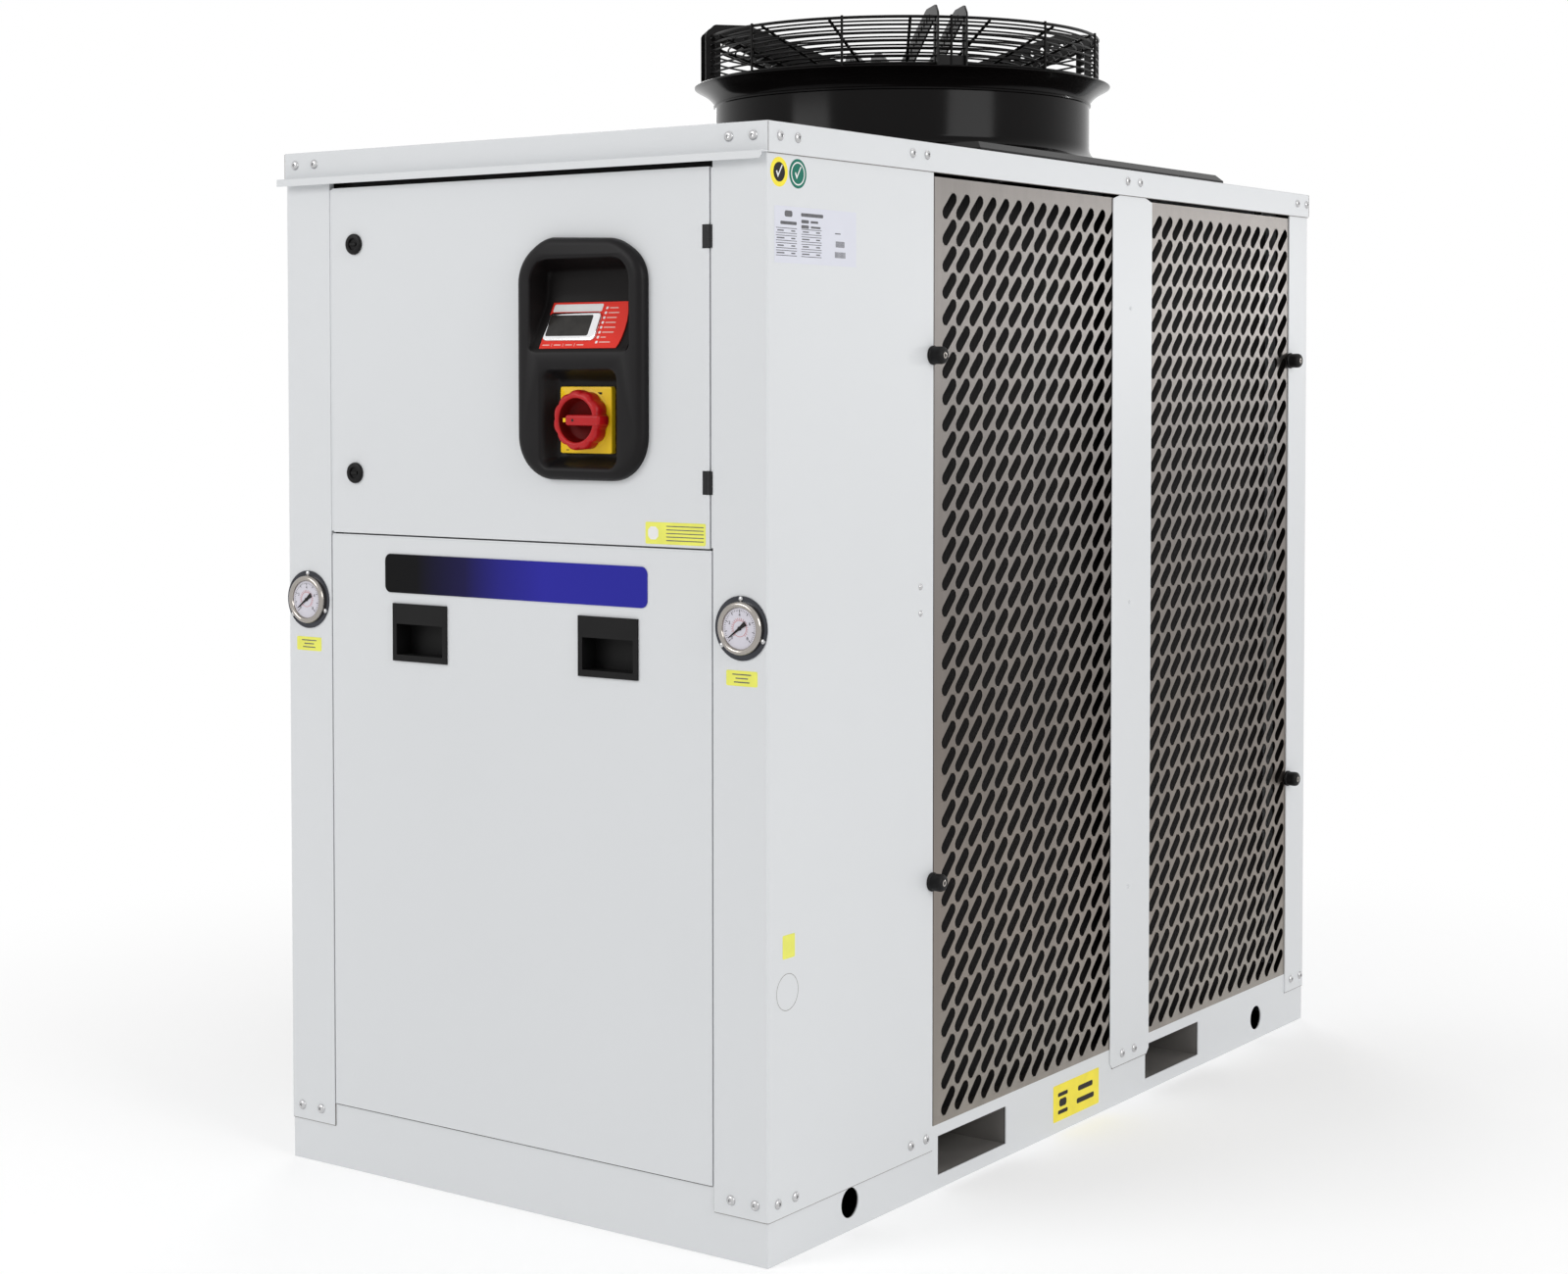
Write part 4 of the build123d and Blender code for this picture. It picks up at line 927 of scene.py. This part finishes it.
knob_plane = on_front(132.0, 1095.5, -816.5)
handle = Shape()
ring_profile = [(5.0, -6.0), (5.0, 0.0), (38.0, 0.0), (39.2, 1.2), (39.6, 3.0), (39.6, 14.0),
                (39.0, 18.0), (37.4, 21.0), (35.0, 22.6), (32.8, 23.0), (31.0, 22.4),
                (29.8, 20.4), (28.6, 14.0), (27.0, 6.0), (25.0, 4.4), (0.0, 4.0)]
strength = [0, 0, 1, 1, 1, 1, 1, 0.8, 0.45, 0.15, 0, 0, 0, 0, 0, 0]


def scallop(angle, step):
    return strength[step] * 1.5 * (abs(math.cos(5.5 * angle + 0.3)) ** 0.8 * 2.0 - 1.2)


handle.lathe(knob_plane, ring_profile, 132, 0, scallop)
# the well inside the ring takes the dark red, a painted shade
handle.kinds[11 * 132:] = [3] * (len(handle.kinds) - 11 * 132)
bar = rounded(59.0, 14.5, 4.0, 5, 13.0, 0.0)
handle.slab(knob_plane, bar, [(0.0, 3.5), (0.0, 20.8), (0.7, 22.8), (2.0, 23.8),
                              (3.2, 24.0)], 0)
handle.lathe(Plane(knob_plane.at(-3.0, 0.0, 0.0), (1, 0, 0), (0, 0, 1)),
             [(2.1, 23.9), (2.1, 24.06), (0.0, 24.06)], 16, 1)
handle.sheet(knob_plane, rounded(4.6, 5.4, 0.8, 2, -19.4, 0.0)(0), [], 3.9, 21.5, 2)
handle.finish("isolator_handle", [red_plastic, dark_ink, yellow_plastic, red_well_painted_shade], body="handle",
              slot="red_plastic", stands_for=["switch_handle"], angle=50.0)


# fan
FAN_Y = 161.0
fan = Plane((0.0, FAN_Y, 0.0), (1, 0, 0), (0, 1, 0))


def guard_height(r):
    return 1712.0 - 0.39 * (326.0 - r)


shroud = Shape()
foot = [(357.0 - 45.0 * math.sin(t), 1503.0 + 30.0 * (1 - math.cos(t)))
        for t in [PI / 2 * k / 8 for k in range(9)]]
skin = [(309.0, 1500.5), (355.5, 1500.5), (357.0, 1501.2), (357.0, 1502.4)] + foot
skin += [(312.0, 1601.4), (314.4, 1602.8), (314.8, 1605.0), (313.2, 1607.0), (314.4, 1610.0),
         (317.6, 1614.4), (322.4, 1619.2), (329.0, 1624.4), (336.6, 1629.0), (343.0, 1632.2),
         (346.0, 1634.0), (346.4, 1635.2), (345.4, 1636.0), (311.0, 1636.0), (309.4, 1635.4),
         (309.0, 1634.0), (309.0, 1500.5)]
rings = [[fan.at(r * math.cos(2 * PI * i / 160), r * math.sin(2 * PI * i / 160), z)
          for i in range(160)] for r, z in skin]
shroud.loops(rings, 0, False, False)
shroud.finish("shroud", [gloss_black], slot="fan_black", stands_for=["fan_shroud"], weld=True)

flange_bolts = Shape()
for k in range(8):
    angle = 2 * PI * (k + 0.5) / 8
    for radius, z in ((366.0, 1500.0),):
        if max(abs(radius * math.cos(angle)), abs(radius * math.sin(angle))) < 380:
            spot = Plane(fan.at(radius * math.cos(angle), radius * math.sin(angle), z),
                         (1, 0, 0), (0, 1, 0))
            flange_bolts.lathe(spot, [(8.0, 0.0), (8.0, 1.4), (5.6, 1.6), (5.6, 5.2),
                                      (4.6, 6.0), (0.0, 6.0)], 6, 0)
flange_bolts.finish("shroud_bolts", [wire_black], slot="fan_black")

guard = Shape()


def wire_ring(radius, z, wire, count=112, sides=6):
    rings = []
    for i in range(count):
        angle = 2 * PI * i / count
        rings.append(fan.at(radius * math.cos(angle), radius * math.sin(angle), z))
    guard.tube(rings, wire, sides, 0, True)


for level in range(7):
    wire_ring(326.0, 1640.0 + 12.0 * level, 2.6 if level in (0, 6) else 1.7)
for level in range(1, 20):
    r = 326.0 - (326.0 - 98.0) * level / 19.0
    wire_ring(r, guard_height(r), 1.6 if level < 19 else 2.4)
for count in range(16):
    angle = 2 * PI * (count + 0.5) / 16 + math.radians(1.7)
    points = []
    for r in (98.0, 326.0):
        points.append(fan.at(r * math.cos(angle), r * math.sin(angle), guard_height(r) - 3.0))
    guard.tube(points, 2.4, 8)
for count in range(12):
    angle = 2 * PI * (count + 0.5) / 12 + math.radians(1.7)
    points = [fan.at(328.4 * math.cos(angle), 328.4 * math.sin(angle), z)
              for z in (1634.0, 1715.5)]
    guard.tube(points, 2.1, 8)
guard.finish("guard", [wire_black], slot="fan_black", stands_for=["fan_guard"])

arms = Shape()
for quarter in range(4):
    heading = math.radians(45.0 + 90.0 * quarter + 1.7)
    out = Vector((math.cos(heading), math.sin(heading), 0.0))
    across = Vector((-math.sin(heading), math.cos(heading), 0.0))
    for way in (-1, 1):
        origin = Vector((0.0, FAN_Y, 0.0)) + across * (way * 23.0)
        plane = Plane(origin, out, (0, 0, 1))
        deep = guard_height(98.0)
        outline = [(336.0, 1636.2), (336.0, 1715.0), (334.5, 1719.0), (322.5, 1730.0),
                   (319.0, 1731.4), (306.0, 1731.4), (268.0, 1731.4), (258.0, 1729.0),
                   (60.0, deep + 34.0), (60.0, deep - 2.0),
                   (94.0, deep - 2.0), (94.0, deep + 4.0)]
        outline += [(r, guard_height(r) + 4.0) for r in (160.0, 240.0, 306.0)]
        outline += [(311.0, 1704.0), (311.0, 1636.2)]
        holes = []
        for k in range(6):
            holes.append(circle(4.6, 14, 323.5, 1646.0 + 12.5 * k))
        for k in range(11):
            r = 116.0 + 17.0 * k
            low = guard_height(r) + 4.0
            high = min(1731.4, deep + 34.0 + (1734.0 - deep - 34.0) * (r - 60.0) / 193.0)
            if high - low > 12.0:
                holes.append(circle(min(5.4, (high - low) * 0.27), 14, r, (low + high) / 2))
        arms.sheet(plane, outline, holes, -1.5, 1.5, 0)
    for r, z0, z1 in ((70.0, deep + 4.0, deep + 26.0),):
        plane = Plane(Vector((0.0, FAN_Y, 0.0)) + out * r, across, (0, 0, 1))
        arms.sheet(plane, [(-21.5, z0), (21.5, z0), (21.5, z1), (-21.5, z1)], [], -1.5, 1.5, 0)
    plane = Plane(Vector((0.0, FAN_Y, 0.0)) + out * 327.0, across, (0, 0, 1))
    arms.sheet(plane, [(-24.5, 1636.2), (24.5, 1636.2), (24.5, 1652.0), (-24.5, 1652.0)], [],
               -1.5, 1.5, 0)
arms.finish("guard_arms", [wire_black], slot="fan_black", stands_for=["fan_arms"],
            angle=30.0, bevel=0.4, segments=1)

motor = Shape()
deep = guard_height(98.0)
top = deep - 2.0
motor.lathe(Plane((0, FAN_Y, 0), (1, 0, 0), (0, 1, 0)),
            [(12.5, top - 115.0), (12.5, top - 30.0), (60.0, top - 30.0), (62.0, top - 28.0),
             (62.0, top - 8.0), (98.0, top - 8.0), (100.0, top - 6.0), (100.0, top - 2.0),
             (98.0, top), (84.0, top), (80.0, top - 2.0), (58.0, top - 2.0), (54.0, top),
             (30.0, top), (26.0, top + 3.0), (0.0, top + 4.0)], 96, 0)
for k in range(12):
    angle = 2 * PI * k / 12
    radial = Vector((math.cos(angle), math.sin(angle), 0))
    plane = Plane(Vector((0, FAN_Y, top)) + radial * 28.0, radial, (0, 0, 1))
    motor.sheet(plane, [(0.0, -1.0), (50.0, -1.0), (50.0, 0.4), (0.0, 2.6)], [], -1.2, 1.2, 0)
for k in range(8):
    angle = 2 * PI * (k + 0.5) / 8
    spot = Plane((91.0 * math.cos(angle), FAN_Y + 91.0 * math.sin(angle), top), (1, 0, 0),
                 (0, 1, 0))
    motor.lathe(spot, [(4.6, 0.0), (4.6, 2.6), (3.8, 3.2), (0.0, 3.2)], 6, 1)
motor.finish("motor", [motor_black, steel], slot="motor_metal", stands_for=["fan_motor"])

impeller = Shape()
hub_top = top - 35.0
hub_low = hub_top - 80.0
impeller.lathe(Plane((0, FAN_Y, 0), (1, 0, 0), (0, 1, 0)),
               [(12.55, hub_low), (84.0, hub_low), (88.0, hub_low + 3.0), (90.0, hub_low + 8.0),
                (90.0, hub_top - 6.0), (88.5, hub_top - 2.0), (84.0, hub_top),
                (40.0, hub_top), (36.0, hub_top - 3.0), (12.55, hub_top - 3.0),
                (12.55, hub_low)], 72, 0)
for k in range(6):
    base = 2 * PI * k / 6
    grid = []
    for i in range(13):
        t = i / 12.0
        r = 86.0 + (302.0 - 86.0) * t
        sweep = 0.10 * math.sin(PI * t) + 0.16 * t * t
        half = (62.0 + 26.0 * t - 10.0 * t * t) / r
        rise = 27.0 - 9.0 * t
        row = []
        for j in range(9):
            s = -1.0 + 2.0 * j / 8.0
            angle = base + sweep + s * half
            z = (hub_low + hub_top) / 2 + rise * s + 5.0 * (1 - s * s) * (1 - 0.4 * t)
            row.append(fan.at(r * math.cos(angle), r * math.sin(angle), z))
        grid.append(row)
    rings = []
    for row in grid:
        under = [p - Vector((0, 0, 3.2)) for p in row[::-1]]
        rings.append(row + under)
    impeller.loops(rings, 0)
impeller.finish("impeller_blades", [blade_black], body="impeller", slot="impeller_black",
                stands_for=["fan_impeller"], angle=40.0)


# labels
def film_on(name, plane, size, mat, slot, marks=(), radius=2.0, thick=0.35, body="cabinet"):
    shape = Shape()
    shape.slab(plane, rounded(size[0], size[1], radius, 4), [(0.0, 0.0), (0.0, thick)], 0)
    mats = [mat]
    for wide, tall, a, b, ink in marks:
        if ink not in mats:
            mats.append(ink)
        shape.sheet(plane, rounded(wide, tall, min(wide, tall) * 0.25, 1, a, b)(0), [],
                    thick - 0.05, thick + 0.1, mats.index(ink))
    shape.finish(name, mats, body=body, slot=slot)


for side, word in ((-1, "left"), (1, "right")):
    film_on("gauge_label_" + word, on_front(side * 394.5, 764.0), (50.0, 20.0), yellow_film,
            "yellow_plastic", [(30.0, 1.5, 0.0, 5.0, grey_ink), (20.0, 1.5, 0.0, 0.0, grey_ink),
                               (25.0, 1.5, 0.0, -5.0, grey_ink)])
film_on("door_label", on_front(286.0, 947.5), (100.0, 29.0), yellow_film, "yellow_plastic",
        [(62.0, 1.2, 16.0, 9.5 - 4.7 * k, grey_ink) for k in range(5)]
        + [(17.0, 17.0, -37.0, 0.0, white_ink)], body="door")
film_on("base_label", on_side(1, -7.3, 45.0, 434.0), (142.0, 56.0), orange_film,
        "yellow_plastic", [(30.0, 6.0, -42.0, 12.0, dark_ink), (22.0, 12.0, -42.0, -1.0, dark_ink),
                           (30.0, 6.0, -42.0, -15.0, dark_ink), (46.0, 8.0, 28.0, 9.0, dark_ink),
                           (54.0, 8.0, 28.0, -10.0, dark_ink)])
film_on("side_tab", on_side(1, -772.5, 413.0), (27.0, 31.0), yellow_film, "yellow_plastic")

rings = Shape()
for y, kind in ((-793.0, 0), (-751.5, 1)):
    plane = on_side(1, y, 1416.0)
    rings.lathe(plane, [(19.0, 0.0), (19.0, 0.3), (0.0, 0.3)], 48, 0 if kind == 0 else 1)
    if kind:
        rings.sheet(plane, circle(15.2, 40), [circle(13.4, 40)[::-1]], 0.25, 0.4, 3)
    rings.lathe(plane, [(12.6, 0.25), (12.6, 0.42), (0.0, 0.42)], 40, 2 if kind == 0 else 1)
    tick = [(-7.0, 0.5), (-3.0, -7.5), (7.5, 9.0), (5.6, 9.6), (-2.6, -2.8), (-5.0, 2.0)]
    rings.sheet(plane, tick, [], 0.4, 0.52, 3)
rings.finish("round_stickers", [orange_film, green_film, dark_ink, white_ink],
             slot="yellow_plastic")

marks = []
for k in range(4):
    for a, wide in ((-66.5, 46.0), (-10.5, 46.0)):
        b = 5.0 - 9.6 * k
        marks.append((wide, 0.7, a, b + 3.2, dark_ink))
        marks.append((wide, 0.7, a, b - 3.2, dark_ink))
        marks.append((14.0 + 3 * (k % 2), 1.6, a - 13.0, b, grey_ink))
        marks.append((9.0, 1.6, a + 15.0, b, grey_ink))
marks += [(17.0, 8.0, -62.0, 27.0, grey_ink), (36.0, 4.2, -62.0, 15.0, grey_ink),
          (50.0, 4.6, -9.0, 27.0, grey_ink), (17.0, 4.4, -25.0, 18.4, grey_ink),
          (17.0, 3.0, -4.0, 18.4, grey_ink), (17.0, 4.4, -25.0, 11.6, grey_ink),
          (22.0, 2.6, -1.0, 11.6, grey_ink)]
for k in range(9):
    marks.append((1.5, 8.0, 46.0 + 2.3 * k, -8.0, grey_ink))
    marks.append((1.7, 8.0, 44.0 + 2.8 * k, -22.0, grey_ink))
marks += [(13.0, 1.4, 50.0, 6.0, grey_ink)]
film_on("data_label", on_side(1, -710.5, 1336.5), (186.0, 73.0), white_film, "grey_paint", marks,
        radius=1.0, thick=0.25)

# knockout rings drawn as thin rings in the painted shadow colour
knockout = Shape()
for way in (1, -1):
    plane = on_side(way, -775.3, 353.5)
    count = 72
    ring = []
    for i in range(count):
        angle = 2 * PI * i / count
        ring.append([plane.at((24.0 + dr) * math.cos(angle), (24.0 + dr) * math.sin(angle), h)
                     for dr, h in ((-0.35, 0.0), (-0.2, 0.2), (0.2, 0.2), (0.35, 0.0))])
    ring.append(ring[0])
    knockout.loops(ring, 0, False, False)
knockout.finish("knockout_rings", [painted_shadow_line], slot="grey_paint")

# floor, light
def stage_finish(name):
    """Pale near the object, where the shadow lies, and plain white further out; under the cabinet
    a dark diffuse, a painted shade.
    """
    mat = bpy.data.materials.new(name)
    tree, nodes, links, shader = nodes_of(mat)
    shader.inputs["Base Color"].default_value = (0.80, 0.80, 0.80, 1.0)
    shader.inputs["Roughness"].default_value = 0.9
    shader.inputs["Specular IOR Level"].default_value = 0.0
    shader.inputs["Emission Color"].default_value = (1.0, 1.0, 1.0, 1.0)
    shader.inputs["Emission Strength"].default_value = 0.34
    path = nodes.new("ShaderNodeLightPath")
    seen = nodes.new("ShaderNodeMath")
    seen.operation = "MAXIMUM"
    links.new(path.outputs["Is Camera Ray"], seen.inputs[0])
    links.new(path.outputs["Is Glossy Ray"], seen.inputs[1])
    clear = nodes.new("ShaderNodeMath")
    clear.operation = "MAXIMUM"
    links.new(seen.outputs[0], clear.inputs[0])
    links.new(path.outputs["Is Transmission Ray"], clear.inputs[1])
    coords = nodes.new("ShaderNodeTexCoord")
    reach = nodes.new("ShaderNodeVectorMath")
    reach.operation = "LENGTH"
    links.new(coords.outputs["Object"], reach.inputs[0])
    fade = nodes.new("ShaderNodeMapRange")
    fade.interpolation_type = "SMOOTHSTEP"
    fade.inputs["From Min"].default_value = 0.9
    fade.inputs["From Max"].default_value = 2.3
    links.new(reach.outputs["Value"], fade.inputs["Value"])
    share = nodes.new("ShaderNodeMath")
    share.operation = "MULTIPLY"
    links.new(fade.outputs["Result"], share.inputs[0])
    links.new(clear.outputs[0], share.inputs[1])
    glow = nodes.new("ShaderNodeEmission")
    glow.inputs["Color"].default_value = (1.0, 1.0, 1.0, 1.0)
    glow.inputs["Strength"].default_value = 1.0
    mix = nodes.new("ShaderNodeMixShader")
    links.new(share.outputs[0], mix.inputs["Fac"])
    links.new(shader.outputs["BSDF"], mix.inputs[1])
    links.new(glow.outputs["Emission"], mix.inputs[2])
    split = nodes.new("ShaderNodeSeparateXYZ")
    links.new(coords.outputs["Object"], split.inputs["Vector"])
    inside = []
    for axis, middle, half in (("X", 0.0, 0.430), ("Y", SHIFT / 1000.0, 0.812)):
        away = nodes.new("ShaderNodeMath")
        away.operation = "SUBTRACT"
        away.inputs[1].default_value = middle
        links.new(split.outputs[axis], away.inputs[0])
        size = nodes.new("ShaderNodeMath")
        size.operation = "ABSOLUTE"
        links.new(away.outputs[0], size.inputs[0])
        near = nodes.new("ShaderNodeMath")
        near.operation = "LESS_THAN"
        near.inputs[1].default_value = half
        links.new(size.outputs[0], near.inputs[0])
        inside.append(near)
    under = nodes.new("ShaderNodeMath")
    under.operation = "MULTIPLY"
    links.new(inside[0].outputs[0], under.inputs[0])
    links.new(inside[1].outputs[0], under.inputs[1])
    # painted shade: the floor inside the cabinet's footprint is a dark diffuse
    painted_shade_under = nodes.new("ShaderNodeBsdfDiffuse")
    painted_shade_under.inputs["Color"].default_value = (0.05, 0.045, 0.04, 1.0)
    both = nodes.new("ShaderNodeMixShader")
    links.new(under.outputs[0], both.inputs["Fac"])
    links.new(mix.outputs["Shader"], both.inputs[1])
    links.new(painted_shade_under.outputs["BSDF"], both.inputs[2])
    links.new(both.outputs["Shader"], nodes["Material Output"].inputs["Surface"])
    return mat


floor_mesh = bpy.data.meshes.new("floor")
floor_mesh.from_pydata([(-30, -30, -0.0005), (30, -30, -0.0005), (30, 30, -0.0005),
                        (-30, 30, -0.0005)], [], [(0, 1, 2, 3)])
floor = bpy.data.objects.new("floor", floor_mesh)
floor_mesh.materials.append(stage_finish("floor_white"))
scene.collection.objects.link(floor)

world = bpy.data.worlds.new("world")
scene.world = world
world.use_nodes = True
nodes, links = world.node_tree.nodes, world.node_tree.links
back = nodes["Background"]
path = nodes.new("ShaderNodeLightPath")
seen = nodes.new("ShaderNodeMath")
seen.operation = "MAXIMUM"
links.new(path.outputs["Is Camera Ray"], seen.inputs[0])
links.new(path.outputs["Is Glossy Ray"], seen.inputs[1])
clear = nodes.new("ShaderNodeMath")
clear.operation = "MAXIMUM"
links.new(seen.outputs[0], clear.inputs[0])
links.new(path.outputs["Is Transmission Ray"], clear.inputs[1])
span = nodes.new("ShaderNodeMapRange")
span.inputs["To Min"].default_value = 0.45
span.inputs["To Max"].default_value = 1.0
links.new(clear.outputs[0], span.inputs["Value"])
back.inputs["Color"].default_value = (1.0, 1.0, 1.0, 1.0)
links.new(span.outputs["Result"], back.inputs["Strength"])


def lamp(name, spot, aim, size, power):
    data = bpy.data.lights.new(name, "AREA")
    data.shape = "RECTANGLE"
    data.size, data.size_y = size
    data.energy = power
    obj = bpy.data.objects.new(name, data)
    scene.collection.objects.link(obj)
    obj.location = spot
    obj.rotation_euler = (Vector(aim) - Vector(spot)).to_track_quat("-Z", "Y").to_euler()
    return obj


lamp("key", (-2.2, -5.2, 3.4), (0.0, -0.3, 0.8), (2.6, 2.2), 88.0)
lamp("side", (5.6, -1.4, 3.0), (0.0, 0.1, 0.8), (3.0, 2.4), 102.0)
lamp("top", (0.3, 0.5, 4.6), (0.0, 0.1, 1.4), (3.0, 3.0), 26.0)
lamp("rear", (-3.6, 4.6, 3.2), (0.0, 0.3, 0.8), (2.6, 2.2), 60.0)
lamp("glint", (2.66, 4.64, 1.45), (0.434, 0.33, 1.29), (0.07, 0.45), 8.0)
scene.view_settings.view_transform = "Standard"
